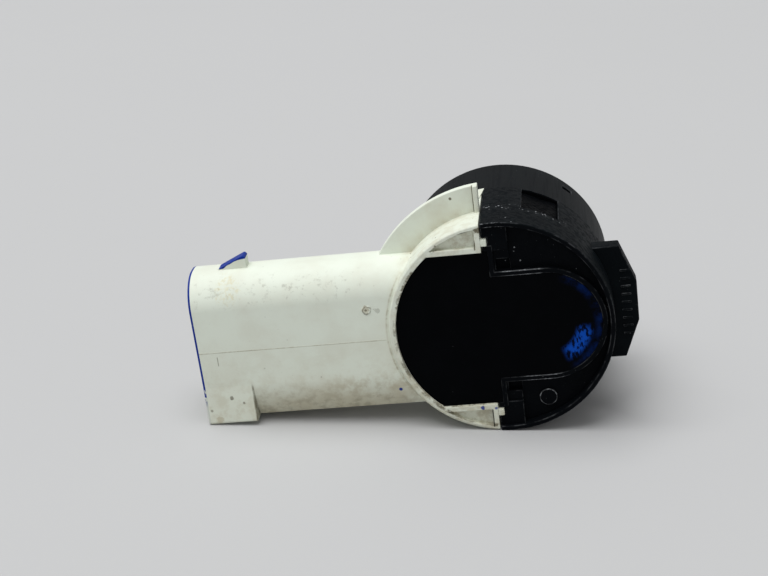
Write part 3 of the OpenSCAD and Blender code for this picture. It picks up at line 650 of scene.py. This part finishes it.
def outside_shroud(nodes, axes):
    """1 on the shroud's outer wall, 0 in its socket."""
    half_depth, half_height = SHROUD_DEPTH / 2, SHROUD_HEIGHT / 2
    z = axes["z"]
    aside = nodes.math("ABSOLUTE", nodes.minus(axes["y"], SHROUD.y))
    over = nodes.math("ABSOLUTE", nodes.minus(z, SHROUD.z))
    corner = nodes.length(
        beyond(nodes, aside, half_depth - SHROUD_ROUND), beyond(nodes, over, half_height - SHROUD_ROUND))
    belly = nodes.length(nodes.plus(aside, BELLY_ROUND - half_depth), nodes.minus(z, BELLY_START))
    corner_ink = SHROUD_ROUND - CORNER_INK
    belly_ink = BELLY_ROUND - BELLY_INK
    bottom_ink = SHROUD_BOTTOM + BOTTOM_INK
    upper = nodes.ramp(corner, corner_ink, corner_ink + INK_BORDER)
    lower = nodes.most(
        nodes.ramp(belly, belly_ink, belly_ink + INK_BORDER),
        nodes.ramp(z, bottom_ink, bottom_ink - INK_BORDER))
    above = nodes.math("GREATER_THAN", z, BELLY_START)
    return nodes.plus(nodes.times(upper, above), nodes.times(lower, nodes.minus(1.0, above)))


def ink_run(nodes, axes, ragged):
    """Height over the border of the ink on the ramp, which runs down furthest at the ramp's two ends."""
    half = RAMP_LENGTH / 2
    along = nodes.minus(axes["x"], RAMP_FOOT)
    slope = nodes.plus(SHROUD_TOP, nodes.times(along, RAMP_SLOPE))
    off = nodes.math("DIVIDE", nodes.minus(along, half), half)
    run = nodes.plus(nodes.times(off, off, INK_SAG), nodes.times(ragged, INK_RAGGED))
    return nodes.plus(nodes.minus(axes["z"], slope), run)


def pale_plastic(colours):
    """Cream-white moulded plastic, handled and soiled, with painted shade low down, by the barrel, in the
    pockets, along the rim and in the joint's gaps, and with blue marking ink.
    """
    material, nodes, shader = start("pale_plastic")
    place = nodes.millimetres()
    axes = axes_of(nodes, place)
    ragged = nodes.haze(place, scale=1.6, detail=3.0)
    flat, gate_reach = flat_reach(nodes, place, GATE)
    axes["ragged_x"] = nodes.plus(axes["x"], nodes.times(ragged, CRACK_RAGGED))
    axes["gate"] = nodes.plus(gate_reach, nodes.times(nodes.minus(ragged, MEAN), GATE_RAGGED))
    axes["ink_run"] = ink_run(nodes, axes, ragged)
    masks = {"all": 1.0} | masks_of(nodes, axes, PALE_ZONES) | flecks_of(nodes, place, PALE_FLECKS)
    masks["stained"] = nodes.use(spot(), Vector=flat, Centre=YELLOW_CENTRE, Radius=1.7, Ragged=2.0)
    # The mouth's ink is thin low down
    upper = nodes.level(masks["mouth_top"], 0.15, 1.0)
    masks["mouth"] = nodes.times(masks["mouth"], outside_shroud(nodes, axes), upper)
    patterns = patterns_of(nodes, place, PALE_PATTERNS)
    # Specks and grit lie mostly on the barrel, and low down
    patterns["soiled"] = nodes.most(nodes.times(masks["barrel"], 0.9), nodes.times(masks["low"], 0.5))
    coats = coats_of(nodes, colours, PALE_COATS, masks, patterns)
    behind = nodes.most(masks["near"], masks["ear_back"])
    for centre, reach, rag, colour, cover in STAINS:
        stain = nodes.use(spot(), Vector=flat, Centre=centre, Radius=reach, Ragged=rag)
        coats.append((nodes.times(stain, behind, cover), getattr(colours, colour)))
    coats += coats_of(nodes, colours, TOP_COATS, masks, patterns)
    nodes.put(shader.inputs["Base Color"], nodes.layers(colours.pale, *coats))
    nodes.put(shader.inputs["Roughness"], nodes.level(patterns["patches"], 0.42, 0.6))
    skin = nodes.use(grain(), Vector=place, Scale=5.0)
    nodes.put(shader.inputs["Normal"], nodes.bump(skin, strength=0.12, depth=0.03))
    return material


def dark_plastic(colours):
    """Blue-black moulded plastic with rubbed, dusty edges, painted highlights on lit edges, a painted sheen
    on the outer wall, and grainy pocket floors.
    """
    material, nodes, shader = start("dark_plastic")
    place = nodes.millimetres()
    axes = axes_of(nodes, place)
    below = nodes.math("LESS_THAN", axes["z"], 0.0)
    axes["along"] = nodes.minus(axes["x"], nodes.times(below, LOWER_SHIFT))
    axes["boss_reach"] = flat_reach(nodes, place, BOSS)[1]
    masks = {"all": 1.0} | masks_of(nodes, axes, DARK_ZONES) | flecks_of(nodes, place, DARK_FLECKS)
    masks["scattered"] = nodes.times(masks["scattered"], masks["scatter"])
    masks["drift"] = nodes.times(masks["drift"], masks["swept"])
    patterns = patterns_of(nodes, place, DARK_PATTERNS)
    patterns["floors"] = masks["floors"]
    coats = coats_of(nodes, colours, DARK_COATS, masks, patterns)
    nodes.put(shader.inputs["Base Color"], nodes.layers(colours.dark, *coats))
    nodes.put(shader.inputs["Roughness"], nodes.level(patterns["patches"], 0.5, 0.68))
    fine = nodes.use(grain(), Vector=place, Scale=5.5)
    rough = nodes.most(masks["floors"], nodes.times(masks["window"], WINDOW_GRAIN))
    coarse = nodes.times(nodes.use(grain(), Vector=place, Scale=2.4), rough, FLOOR_GRAIN)
    nodes.put(shader.inputs["Normal"], nodes.bump(nodes.plus(fine, coarse), strength=0.35, depth=0.05))
    return material


def sleeve_plastic(colours):
    """Smooth dark plastic of the front barrel, with faint drawn lines along it."""
    material, nodes, shader = start("sleeve_plastic")
    place = nodes.millimetres()
    cloud = nodes.patchy(place, scale=0.3, low=0.4, high=0.75)
    drawn = nodes.add("Mapping", {"Vector": place, "Scale": (3.0, 0.12, 3.0)}).outputs[0]
    lines = nodes.patchy(drawn, scale=1.0, low=0.45, high=0.7)
    grit = nodes.flecks(place, scale=2.8, share=0.06, size=0.14)
    colour = nodes.layers(
        colours.dark,
        (nodes.level(cloud, 0.4, 0.85), colours.dark_worn_and_sheen),
        (nodes.times(lines, 0.05), colours.dark_worn_and_sheen),
        (nodes.times(nodes.edge(), nodes.level(cloud, 0.05, 0.3)), colours.dust_and_highlight),
        (nodes.times(grit, 0.2), colours.dust_and_highlight))
    nodes.put(shader.inputs["Base Color"], colour)
    nodes.put(shader.inputs["Roughness"], nodes.level(lines, 0.47, 0.53))
    skin = nodes.use(grain(), Vector=place, Scale=7.0)
    nodes.put(shader.inputs["Normal"], nodes.bump(skin, strength=0.15, depth=0.03))
    return material


def cast_fill(colours):
    """Black cast fill with a soft gloss, and the blue ink left on it in the tongue's end."""
    material, nodes, shader = start("cast_fill")
    place = nodes.millimetres()
    from_ink = nodes.vector("SUBTRACT", place, INK_CENTRE)["Vector"]
    masks = masks_of(nodes, axes_of(nodes, from_ink), FILL_ZONES)
    cloud = nodes.patchy(place, scale=0.4, low=0.38, high=0.7)
    faint = nodes.patchy(place, scale=0.9, low=0.36, high=0.72)
    streaks = nodes.add("Mapping", {
        "Vector": place, "Scale": (2.6, 1.0, 1.1), "Rotation": (0.0, 0.7, 0.0)}).outputs[0]
    scratches = nodes.patchy(streaks, scale=1.0, low=0.47, high=0.56)
    grit = nodes.flecks(place, scale=1.6, share=0.05, size=0.06)
    colour = nodes.layers(
        colours.fill,
        (nodes.times(cloud, 0.25), colours.dark),
        (nodes.times(masks["crescent"], faint, 0.16), colours.fill_ink),
        (nodes.times(masks["patch"], nodes.level(scratches, 1.0, 0.05)), colours.fill_ink),
        (nodes.times(grit, 0.35), colours.dust_and_highlight))
    nodes.put(shader.inputs["Base Color"], colour)
    nodes.put(shader.inputs["Roughness"], nodes.level(cloud, 0.32, 0.48))
    swell = nodes.haze(place, scale=0.35, detail=1.0)
    nodes.put(shader.inputs["Normal"], nodes.bump(swell, strength=0.25, depth=0.25))
    return material


def turned_metal(colours):
    """Satin metal with fine turned rings."""
    material, nodes, shader = start("pot_aluminium")
    place = nodes.millimetres()
    x, _, z = nodes.split(place)
    rings = nodes.add(
        "TexNoise", {"W": nodes.length(x, z), "Scale": 9.0, "Detail": 4.0}, noise_dimensions="1D").outputs[0]
    cloud = nodes.patchy(place, scale=0.3, low=0.35, high=0.7)
    grit = nodes.flecks(place, scale=1.4, share=0.08, size=0.08)
    colour = nodes.layers(
        colours.metal,
        (nodes.times(cloud, 0.3), colours.metal_dull),
        (nodes.times(grit, 0.5), colours.brown))
    nodes.put(shader.inputs["Base Color"], colour)
    shader.inputs["Metallic"].default_value = 1.0
    nodes.put(shader.inputs["Roughness"], nodes.level(rings, 0.28, 0.46))
    nodes.put(shader.inputs["Normal"], nodes.bump(rings, strength=0.25, depth=0.02))
    return material


# Inner finishes: colour, second colour, pattern scale per millimetre, roughness, metallic, bump strength
INNER = {
    "soft_silicone": ((0.016, 0.016, 0.017), (0.03, 0.03, 0.032), 0.8, 0.6, 0.0, 0.2),
    "ceramic": ((0.55, 0.5, 0.4), (0.46, 0.42, 0.34), 1.2, 0.5, 0.0, 0.15),
    "felt": ((0.32, 0.31, 0.3), (0.2, 0.2, 0.2), 2.5, 0.85, 0.0, 0.9),
    "sealant": ((0.5, 0.5, 0.48), (0.42, 0.42, 0.4), 0.5, 0.35, 0.0, 0.1),
    "carrier_plastic": ((0.03, 0.03, 0.03), (0.045, 0.045, 0.045), 1.0, 0.5, 0.0, 0.2),
    "contact_metal": ((0.62, 0.6, 0.56), (0.5, 0.47, 0.42), 1.4, 0.3, 1.0, 0.12),
    "copper": ((0.6, 0.28, 0.14), (0.45, 0.18, 0.08), 1.5, 0.3, 1.0, 0.2),
    "board": ((0.02, 0.11, 0.05), (0.03, 0.16, 0.07), 0.9, 0.4, 0.0, 0.2),
    "chip_plastic": ((0.014, 0.014, 0.015), (0.024, 0.024, 0.026), 1.8, 0.55, 0.0, 0.3),
    "ferrite": ((0.05, 0.048, 0.048), (0.03, 0.03, 0.03), 1.5, 0.6, 0.0, 0.4),
    "can_aluminium": ((0.7, 0.7, 0.71), (0.55, 0.55, 0.56), 1.0, 0.3, 1.0, 0.12),
}


def inner_finish(name, colour, second, scale, rough, metallic, strength):
    """A finish of two colours in cloudy patches, with a grain at its own scale."""
    material, nodes, shader = start(name)
    place = nodes.millimetres()
    cloud = nodes.patchy(place, scale, low=0.35, high=0.68)
    nodes.put(shader.inputs["Base Color"], nodes.layers(colour, (cloud, second)))
    nodes.put(shader.inputs["Roughness"], nodes.level(cloud, rough, min(1.0, rough + 0.15)))
    shader.inputs["Metallic"].default_value = metallic
    skin = nodes.use(grain(), Vector=place, Scale=6 * scale)
    nodes.put(shader.inputs["Normal"], nodes.bump(skin, strength, depth=0.03))
    return material


OUTER = {
    "pale_plastic": pale_plastic,
    "dark_plastic": dark_plastic,
    "sleeve_plastic": sleeve_plastic,
    "cast_fill": cast_fill,
    "pot_aluminium": turned_metal,
}


def finish_of(slot):
    """The material of a record slot, made when it is first asked for."""
    if slot in bpy.data.materials:
        return bpy.data.materials[slot]
    if slot in OUTER:
        return OUTER[slot](bpy.context.scene.sensor_colours)
    return inner_finish(slot, *INNER[slot])


def clear_frame_materials():
    """Frees the slot names that the imported solids' plain materials hold."""
    for material in list(bpy.data.materials):
        material.name = "cad_" + material.name


def merged_copy(node):
    """A bmesh of a solid's triangles, merged, with its flat faces made whole."""
    bm = bmesh.new()
    bm.from_mesh(frame["nodes"][node].data)
    bmesh.ops.remove_doubles(bm, verts=bm.verts, dist=MERGE)
    bmesh.ops.dissolve_limit(bm, angle_limit=FLAT, verts=bm.verts, edges=bm.edges)
    return bm


def bevel(bm, edges, width, segments, **settings):
    """Rounds edges and gives the new faces."""
    return bmesh.ops.bevel(
        bm, geom=edges, offset=width, offset_type="OFFSET", affect="EDGES", segments=segments, profile=0.5,
        material=-1, **settings)["faces"]


def round_edges(bm, width):
    """Rounds the sharp outer edges inside the shape's own box and marks the new strips as edges."""
    layer = bm.faces.layers.float.new("edge")
    spans = [(min(v.co[i] for v in bm.verts), max(v.co[i] for v in bm.verts)) for i in range(3)]
    sharp = [e for e in bm.edges if e.is_convex and e.calc_face_angle(0.0) > SHARP]
    for face in bevel(bm, sharp, width, segments=2, clamp_overlap=False, loop_slide=True):
        face[layer] = 1.0
    for v in bm.verts:
        v.co = Vector([min(max(place, low), high) for place, (low, high) in zip(v.co, spans)])


def even_normals(mesh):
    """Smooth shading in which large faces stay flat, rounded edges turn and inner corners stay sharp."""
    around = [[] for v in mesh.vertices]
    for face in mesh.polygons:
        face.use_smooth = True
        for index in face.vertices:
            around[index].append((face.normal.copy(), face.area))
    corners = []
    for face in mesh.polygons:
        for index in face.vertices:
            shared = [n * area for n, area in around[index] if n.dot(face.normal) > math.cos(SHARP)]
            corners.append(sum(shared, Vector()).normalized())
    mesh.normals_split_custom_set(corners)


def piece(name, bm, slot, *nodes):
    """Makes the finished object of a bmesh, which rides on the body and stands for the nodes."""
    mesh = bpy.data.meshes.new(name)
    bm.normal_update()
    bm.to_mesh(mesh)
    bm.free()
    even_normals(mesh)
    mesh.materials.append(finish_of(slot))
    obj = bpy.data.objects.new(name, mesh)
    bpy.context.scene.collection.objects.link(obj)
    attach(obj, "root")
    if nodes:
        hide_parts(*nodes)


def rounded_piece(name, node, slot, width):
    """A solid's copy with rounded edges, in its place."""
    bm = merged_copy(node)
    round_edges(bm, width)
    piece(name, bm, slot, node)


def surface(node):
    """A search tree of a solid's triangles."""
    mesh = frame["nodes"][node].data
    return BVHTree.FromPolygons([v.co for v in mesh.vertices], [p.vertices for p in mesh.polygons])


def rear_wall(tree, x, z):
    """Where a line along +Y from a metre behind first meets a solid."""
    hit = tree.ray_cast(Vector((x, -1.0, z)), Vector((0.0, 1.0, 0.0)))[0]
    if hit is None:
        raise RuntimeError(f"nothing behind x {x:.4f} z {z:.4f}")
    return hit.y


def slab(columns, rows):
    """A bmesh of a unit grid and its raised copy, closed round the sides, and the raised vertices."""
    bm = bmesh.new()
    bmesh.ops.create_grid(bm, x_segments=columns, y_segments=rows, size=0.5)
    lifted = bmesh.ops.extrude_face_region(bm, geom=bm.faces[:], use_keep_orig=True)["geom"]
    return bm, {v for v in lifted if isinstance(v, bmesh.types.BMVert)}


def round_ramp(bm, width):
    """Rounds the lock ramp's upper end."""
    x, z = RAMP_END * MM, (SHROUD_TOP + RAMP_HEIGHT) * MM
    end = [e for e in bm.edges if all(abs(v.co.x - x) < TOUCH and abs(v.co.z - z) < TOUCH for v in e.verts)]
    if len(end) != 1:
        raise RuntimeError("the ramp's end was not found")
    bevel(bm, end, width, segments=5)


def lean_foot(bm):
    """Leans the foot's near face in, so that its top runs into the wall."""
    wall, end, top, blend = NEAR_WALL * MM, FOOT_END * MM, FOOT_TOP * MM, (FOOT_HEIGHT - FOOT_ROUND) * MM
    for v in bm.verts:
        proud = wall - v.co.y
        if proud > TOUCH and v.co.x < end + TOUCH and v.co.z < top + TOUCH:
            v.co.y = wall - proud * min(1.0, max(0.0, (top - v.co.z) / blend))


class SENSOR_OT_connector(bpy.types.Operator):
    """Makes the pale moulding with its rounded edges"""
    bl_idname = "sensor.connector"
    bl_label = "Connector housing"

    def execute(self, context):
        sizes = context.scene.sensor_sizes
        bm = merged_copy("connector_housing")
        lean_foot(bm)
        round_ramp(bm, sizes.ramp_round)
        round_edges(bm, sizes.pale_edge)
        piece("pale_moulding", bm, "pale_plastic", "connector_housing")
        return {"FINISHED"}


class SENSOR_OT_mould_marks(bpy.types.Operator):
    """Makes the mould seam and the gate mark on the connector's near side"""
    bl_idname = "sensor.mould_marks"
    bl_label = "Mould marks"
    seam_span = ((MOUTH + 0.3) * MM, (-BARREL - 0.4) * MM)
    # Height along the seam: mean, swing, waves to a metre, and where it is cut from the noise
    seam_mean, seam_swing, seam_waves, seam_cut = 0.65, 0.35, 900, 3.0
    # Gate mark from its middle to its border: share of the radius, and height in millimetres
    gate_profile = ((0.0, 0.02), (0.3, 0.025), (0.55, 0.06), (0.85, 0.07), (1.0, 0.0), (1.02, -0.06))
    # Border and skin of the gate mark: swing, and waves to a metre
    gate_ragged, border_waves = 0.3, 3000
    gate_rough, skin_waves = 0.02 * MM, 4000

    def seam(self, tree, sizes):
        left, right = self.seam_span
        bm, raised = slab(columns=90, rows=4)
        for v in bm.verts:
            crown = 1.0 - 2.0 * abs(v.co.y)
            x = left + (v.co.x + 0.5) * (right - left)
            z = SEAM_Z * MM + v.co.y * sizes.seam_width
            wave = noise.noise(Vector((x * self.seam_waves, 0.0, self.seam_cut)))
            wander = self.seam_mean + self.seam_swing * wave
            rise = sizes.seam_height * crown * wander if v in raised else -sizes.seam_height
            v.co = Vector((x, rear_wall(tree, x, z) - rise, z))
        bmesh.ops.recalc_face_normals(bm, faces=bm.faces)
        piece("mould_seam", bm, "pale_plastic")

    def gate(self, tree, sizes):
        gate_x, gate_z = GATE[0] * MM, GATE[2] * MM
        bm = bmesh.new()
        radius = sizes.gate_radius
        line = [bm.verts.new((share * radius, -height * MM, 0.0)) for share, height in self.gate_profile]
        edges = [bm.edges.new(pair) for pair in zip(line, line[1:])]
        bmesh.ops.spin(
            bm, geom=line + edges, cent=ORIGIN, axis=(0, 1, 0), angle=math.tau, steps=36, use_merge=True)
        bmesh.ops.remove_doubles(bm, verts=bm.verts, dist=MERGE)
        for v in bm.verts:
            flat = Vector((v.co.x, 0.0, v.co.z))
            ragged = 1.0 + self.gate_ragged * noise.noise(flat * self.border_waves)
            lift = self.gate_rough * noise.noise(v.co * self.skin_waves)
            v.co = Vector((gate_x + ragged * v.co.x, v.co.y + lift, gate_z + ragged * v.co.z))
        bmesh.ops.translate(bm, verts=bm.verts, vec=(0.0, rear_wall(tree, gate_x, gate_z), 0.0))
        bmesh.ops.holes_fill(bm, edges=[e for e in bm.edges if e.is_boundary])
        bmesh.ops.recalc_face_normals(bm, faces=bm.faces)
        piece("gate_mark", bm, "pale_plastic")

    def execute(self, context):
        sizes = context.scene.sensor_sizes
        tree = surface("connector_housing")
        self.seam(tree, sizes)
        self.gate(tree, sizes)
        return {"FINISHED"}


class SENSOR_OT_main_housing(bpy.types.Operator):
    """Makes the dark moulding with its rounded edges"""
    bl_idname = "sensor.main_housing"
    bl_label = "Main housing"

    def execute(self, context):
        rounded_piece("dark_moulding", "main_housing", "dark_plastic", context.scene.sensor_sizes.dark_edge)
        return {"FINISHED"}


class SENSOR_OT_joint_tab(bpy.types.Operator):
    """Makes the small pale tab that laps over the barrel beside the ear's end"""
    bl_idname = "sensor.joint_tab"
    bl_label = "Joint tab"
    # Corners across and along the barrel, in millimetres
    outline = ((-1.75, -3.6), (-1.5, -3.6), (-1.05, -0.4), (-1.75, -0.4))
    # Shares of the tab's height: sunk into the barrel, and rounded
    sunk, rounded = 0.5, 0.25

    def execute(self, context):
        height = context.scene.sensor_sizes.tab_height
        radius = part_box("main_housing")[1].z
        bm = bmesh.new()
        base = bm.faces.new([bm.verts.new((x * MM, y * MM, 0.0)) for x, y in self.outline])
        top = bmesh.ops.extrude_face_region(bm, geom=[base])["geom"]
        raised = {v for v in top if isinstance(v, bmesh.types.BMVert)}
        for v in bm.verts:
            v.co.z = math.sqrt(radius ** 2 - v.co.x ** 2) + (height if v in raised else -self.sunk * height)
        bmesh.ops.recalc_face_normals(bm, faces=bm.faces)
        round_edges(bm, self.rounded * height)
        piece("joint_tab", bm, "pale_plastic")
        return {"FINISHED"}


class SENSOR_OT_window_floor(bpy.types.Operator):
    """Makes the rough floor in the barrel's sunken window"""
    bl_idname = "sensor.window_floor"
    bl_label = "Window floor"
    level = (BARREL - WINDOW_DEPTH) * MM
    sunk = 0.1 * MM
    width = 4.26 * MM
    span = (-6.93 * MM, -0.37 * MM)
    # Roughness: waves to a millimetre with their shares, mean, swing, and where it is cut from the noise
    waves = ((0.9, 1.0), (2.3, 0.6), (5.0, 0.3))
    mean, swing, cut = 0.35, 0.65, 7.0

    def execute(self, context):
        rough = context.scene.sensor_sizes.window_rough
        place = Matrix.Rotation(-WINDOW_TURN, 4, "Y")
        bm, raised = slab(columns=64, rows=44)
        for v in bm.verts:
            along = self.span[0] + (v.co.x + 0.5) * (self.span[1] - self.span[0])
            across = v.co.y * self.width
            at = Vector((along, across, self.cut)) * PER_MM
            swell = sum(share * noise.noise(at * count) for count, share in self.waves)
            rise = rough * max(0.0, self.mean + self.swing * swell) if v in raised else -self.sunk
            v.co = place @ Vector((self.level + rise, along, across))
        bmesh.ops.recalc_face_normals(bm, faces=bm.faces)
        piece("window_floor", bm, "dark_plastic")
        return {"FINISHED"}


class SENSOR_OT_lug_ribs(bpy.types.Operator):
    """Makes the plain ribs on the lug's rear face"""
    bl_idname = "sensor.lug_ribs"
    bl_label = "Lug ribs"
    count = 9
    pitch = 0.95 * MM
    thick = 0.26 * MM
    middle = (LUG_END - 1.25) * MM

    def execute(self, context):
        sizes = context.scene.sensor_sizes
        tree = surface("main_housing")
        shape = Matrix.Diagonal((sizes.rib_length, 2 * sizes.rib_height, self.thick, 1.0))
        bm = bmesh.new()
        for i in range(self.count):
            z = (i - (self.count - 1) / 2) * self.pitch
            place = Matrix.Translation((self.middle, rear_wall(tree, self.middle, z), z))
            bmesh.ops.create_cube(bm, size=1.0, matrix=place @ shape)
        round_edges(bm, sizes.fine_edge)
        piece("lug_ribs", bm, "dark_plastic")
        return {"FINISHED"}


class SENSOR_OT_front_sleeve(bpy.types.Operator):
    """Makes the front barrel with its rounded edges"""
    bl_idname = "sensor.front_sleeve"
    bl_label = "Front sleeve"

    def execute(self, context):
        rounded_piece("front_barrel", "front_sleeve", "sleeve_plastic", context.scene.sensor_sizes.dark_edge)
        return {"FINISHED"}


class SENSOR_OT_fill(bpy.types.Operator):
    """Makes the cast fill, which climbs a little at the walls"""
    bl_idname = "sensor.fill"
    bl_label = "Cast fill"
    # Raised border from the wall inwards: step as a share of its width, and share of its height there
    border = ((0.12, 0.45), (0.2, 0.16), (0.28, 0.04), (0.4, 0.0))
    rearward = -0.99

    def execute(self, context):
        sizes = context.scene.sensor_sizes
        bm = merged_copy("potting_fill")
        bm.faces.layers.float.new("edge")
        rear = min(v.co.y for v in bm.verts)
        face = max((f for f in bm.faces if f.normal.y < self.rearward), key=lambda f: f.calc_area())
        if abs(face.calc_center_median().y - rear) > TOUCH:
            raise RuntimeError("the fill has no rear face")
        rings = [(list(face.verts), 1.0)]
        for step, share in self.border:
            width = step * sizes.creep_width
            bmesh.ops.inset_region(
                bm, faces=[face], thickness=width, use_even_offset=True, use_boundary=True)
            rings.append((list(face.verts), share))
        for ring, share in rings:
            for v in ring:
                v.co.y = rear - share * sizes.creep_height
        piece("fill_surface", bm, "cast_fill", "potting_fill")
        return {"FINISHED"}


class SENSOR_OT_transducer(bpy.types.Operator):
    """Makes the membrane pot and its soft ring with rounded edges"""
    bl_idname = "sensor.transducer"
    bl_label = "Transducer"

    def execute(self, context):
        fine = context.scene.sensor_sizes.fine_edge
        rounded_piece("pot", "membrane_pot", "pot_aluminium", fine)
        rounded_piece("soft_ring", "decoupling_ring", "soft_silicone", fine)
        return {"FINISHED"}


class SENSOR_OT_terminals(bpy.types.Operator):
    """Makes the three blades in the connector with rounded edges"""
    bl_idname = "sensor.terminals"
    bl_label = "Terminals"

    def execute(self, context):
        fine = context.scene.sensor_sizes.fine_edge
        for name in ("supply", "signal", "ground"):
            rounded_piece(name + "_blade", name + "_terminal", "contact_metal", fine)
        return {"FINISHED"}


class SENSOR_OT_inner_parts(bpy.types.Operator):
    """Gives every solid its finish"""
    bl_idname = "sensor.inner_parts"
    bl_label = "Inner parts"

    def execute(self, context):
        for entry in frame["record"]["subparts"]:
            slots = frame["nodes"][entry["node"]].material_slots
            if not slots:
                raise RuntimeError(f"{entry['node']} has no material slot")
            for place in slots:
                place.material = finish_of(entry["material_slot"])
        return {"FINISHED"}


class SENSOR_OT_stage(bpy.types.Operator):
    """Makes the floor, the soft lights, the sky and the camera"""
    bl_idname = "sensor.stage"
    bl_label = "Stage"
    # Lamps' sizes and places in metres, from which they face the sensor
    key_size, key_place = 2.7, (-0.36, -0.3, 3.12)
    fill_size, fill_place = 3.0, (0.6, -3.6, 1.8)
    floor_shade = 0.985
    film_width = 36.0

    def floor(self, scene, stage):
        material, nodes, shader = start("floor")
        cloud = nodes.patchy(nodes.add("TexCoord").outputs["Object"], scale=4.0, low=0.3, high=0.7)
        pale = scene.sensor_colours.floor
        shade = tuple(self.floor_shade * c for c in pale)
        nodes.put(shader.inputs["Base Color"], nodes.layers(pale, (cloud, shade)))
        shader.inputs["Roughness"].default_value = 0.9
        shader.inputs["Specular IOR Level"].default_value = 0.1
        bm = bmesh.new()
        bmesh.ops.create_circle(bm, cap_ends=True, segments=96, radius=stage.floor_radius)
        under = Matrix.Translation((0, 0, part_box("main_housing")[0].z))
        bmesh.ops.transform(bm, matrix=Matrix.Rotation(stage.lean, 4, "Y") @ under, verts=bm.verts)
        mesh = bpy.data.meshes.new("floor")
        bm.to_mesh(mesh)
        bm.free()
        mesh.materials.append(material)
        floor = bpy.data.objects.new("floor", mesh)
        scene.collection.objects.link(floor)
        floor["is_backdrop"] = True

    def lamp(self, scene, name, watts, size, place):
        lamp = bpy.data.lights.new(name, "AREA")
        lamp.energy = watts
        lamp.size = size
        holder = bpy.data.objects.new(name, lamp)
        holder.location = place
        holder.rotation_euler = Vector(place).to_track_quat("Z", "Y").to_euler()
        scene.collection.objects.link(holder)

    def sky(self, scene, stage):
        world = bpy.data.worlds.new("sky")
        world.use_nodes = True
        scene.world = world
        nodes = Nodes(world.node_tree)
        rays = nodes.add("LightPath").outputs
        seen = nodes.most(
            rays["Is Camera Ray"], nodes.most(rays["Is Glossy Ray"], rays["Is Transmission Ray"]))
        background = world.node_tree.nodes["Background"]
        background.inputs["Color"].default_value = (1.0, 1.0, 1.0, 1.0)
        nodes.put(background.inputs["Strength"], nodes.level(seen, stage.sky, stage.sky_seen))

    def camera(self, scene, stage):
        camera = bpy.data.cameras.new("camera")
        camera.lens = stage.lens
        camera.sensor_width = self.film_width
        camera.clip_start = 10 * MM
        back = Vector((
            math.sin(stage.azimuth) * math.cos(stage.elevation),
            -math.cos(stage.azimuth) * math.cos(stage.elevation),
            math.sin(stage.elevation)))
        right = Vector((0, 0, 1)).cross(back).normalized()
        turn = Matrix((right, back.cross(right), back)).transposed().to_4x4()
        place = Matrix.Translation(Vector(stage.target) + back * stage.distance)
        view = bpy.data.objects.new("camera", camera)
        view.matrix_world = place @ turn @ Matrix.Rotation(stage.roll, 4, "Z")
        scene.collection.objects.link(view)
        scene.camera = view

    def execute(self, context):
        scene = context.scene
        stage = scene.sensor_stage
        scene.view_settings.view_transform = "Standard"
        self.floor(scene, stage)
        self.lamp(scene, "key_light", stage.key_power, self.key_size, self.key_place)
        self.lamp(scene, "fill_light", stage.fill_power, self.fill_size, self.fill_place)
        self.sky(scene, stage)
        self.camera(scene, stage)
        return {"FINISHED"}


class SENSOR_PT_panel(bpy.types.Panel):
    """Lists the pieces, their sizes and their colours"""
    bl_idname = "SENSOR_PT_panel"
    bl_label = "Parking sensor"
    bl_space_type = "VIEW_3D"
    bl_region_type = "UI"
    bl_category = "Sensor"

    def draw(self, context):
        for operator in OPERATORS:
            self.layout.operator(operator.bl_idname)
        for name in GROUPS:
            group = getattr(context.scene, name)
            box = self.layout.box()
            for entry in group.__annotations__:
                box.prop(group, entry)


OPERATORS = (
    SENSOR_OT_connector,
    SENSOR_OT_mould_marks,
    SENSOR_OT_main_housing,
    SENSOR_OT_joint_tab,
    SENSOR_OT_window_floor,
    SENSOR_OT_lug_ribs,
    SENSOR_OT_front_sleeve,
    SENSOR_OT_fill,
    SENSOR_OT_transducer,
    SENSOR_OT_terminals,
    SENSOR_OT_inner_parts,
    SENSOR_OT_stage,
)
CLASSES = (SensorSizes, SensorColours, SensorStage) + OPERATORS + (SENSOR_PT_panel,)
GROUPS = {"sensor_sizes": SensorSizes, "sensor_colours": SensorColours, "sensor_stage": SensorStage}


def register():
    for cls in CLASSES:
        bpy.utils.register_class(cls)
    for name, group in GROUPS.items():
        setattr(bpy.types.Scene, name, bpy.props.PointerProperty(type=group))


def unregister():
    for name in GROUPS:
        delattr(bpy.types.Scene, name)
    for cls in reversed(CLASSES):
        bpy.utils.unregister_class(cls)


def main():
    register()
    clear_frame_materials()
    bpy.ops.sensor.connector()
    bpy.ops.sensor.mould_marks()
    bpy.ops.sensor.main_housing()
    bpy.ops.sensor.joint_tab()
    bpy.ops.sensor.window_floor()
    bpy.ops.sensor.lug_ribs()
    bpy.ops.sensor.front_sleeve()
    bpy.ops.sensor.fill()
    bpy.ops.sensor.transducer()
    bpy.ops.sensor.terminals()
    bpy.ops.sensor.inner_parts()
    bpy.ops.sensor.stage()
    boxes = {"cad": CAD_BOX, "visual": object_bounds()}
    {name: [list(corner) for corner in box] for name, box in boxes.items()}


if __name__ == "__main__":
    main()
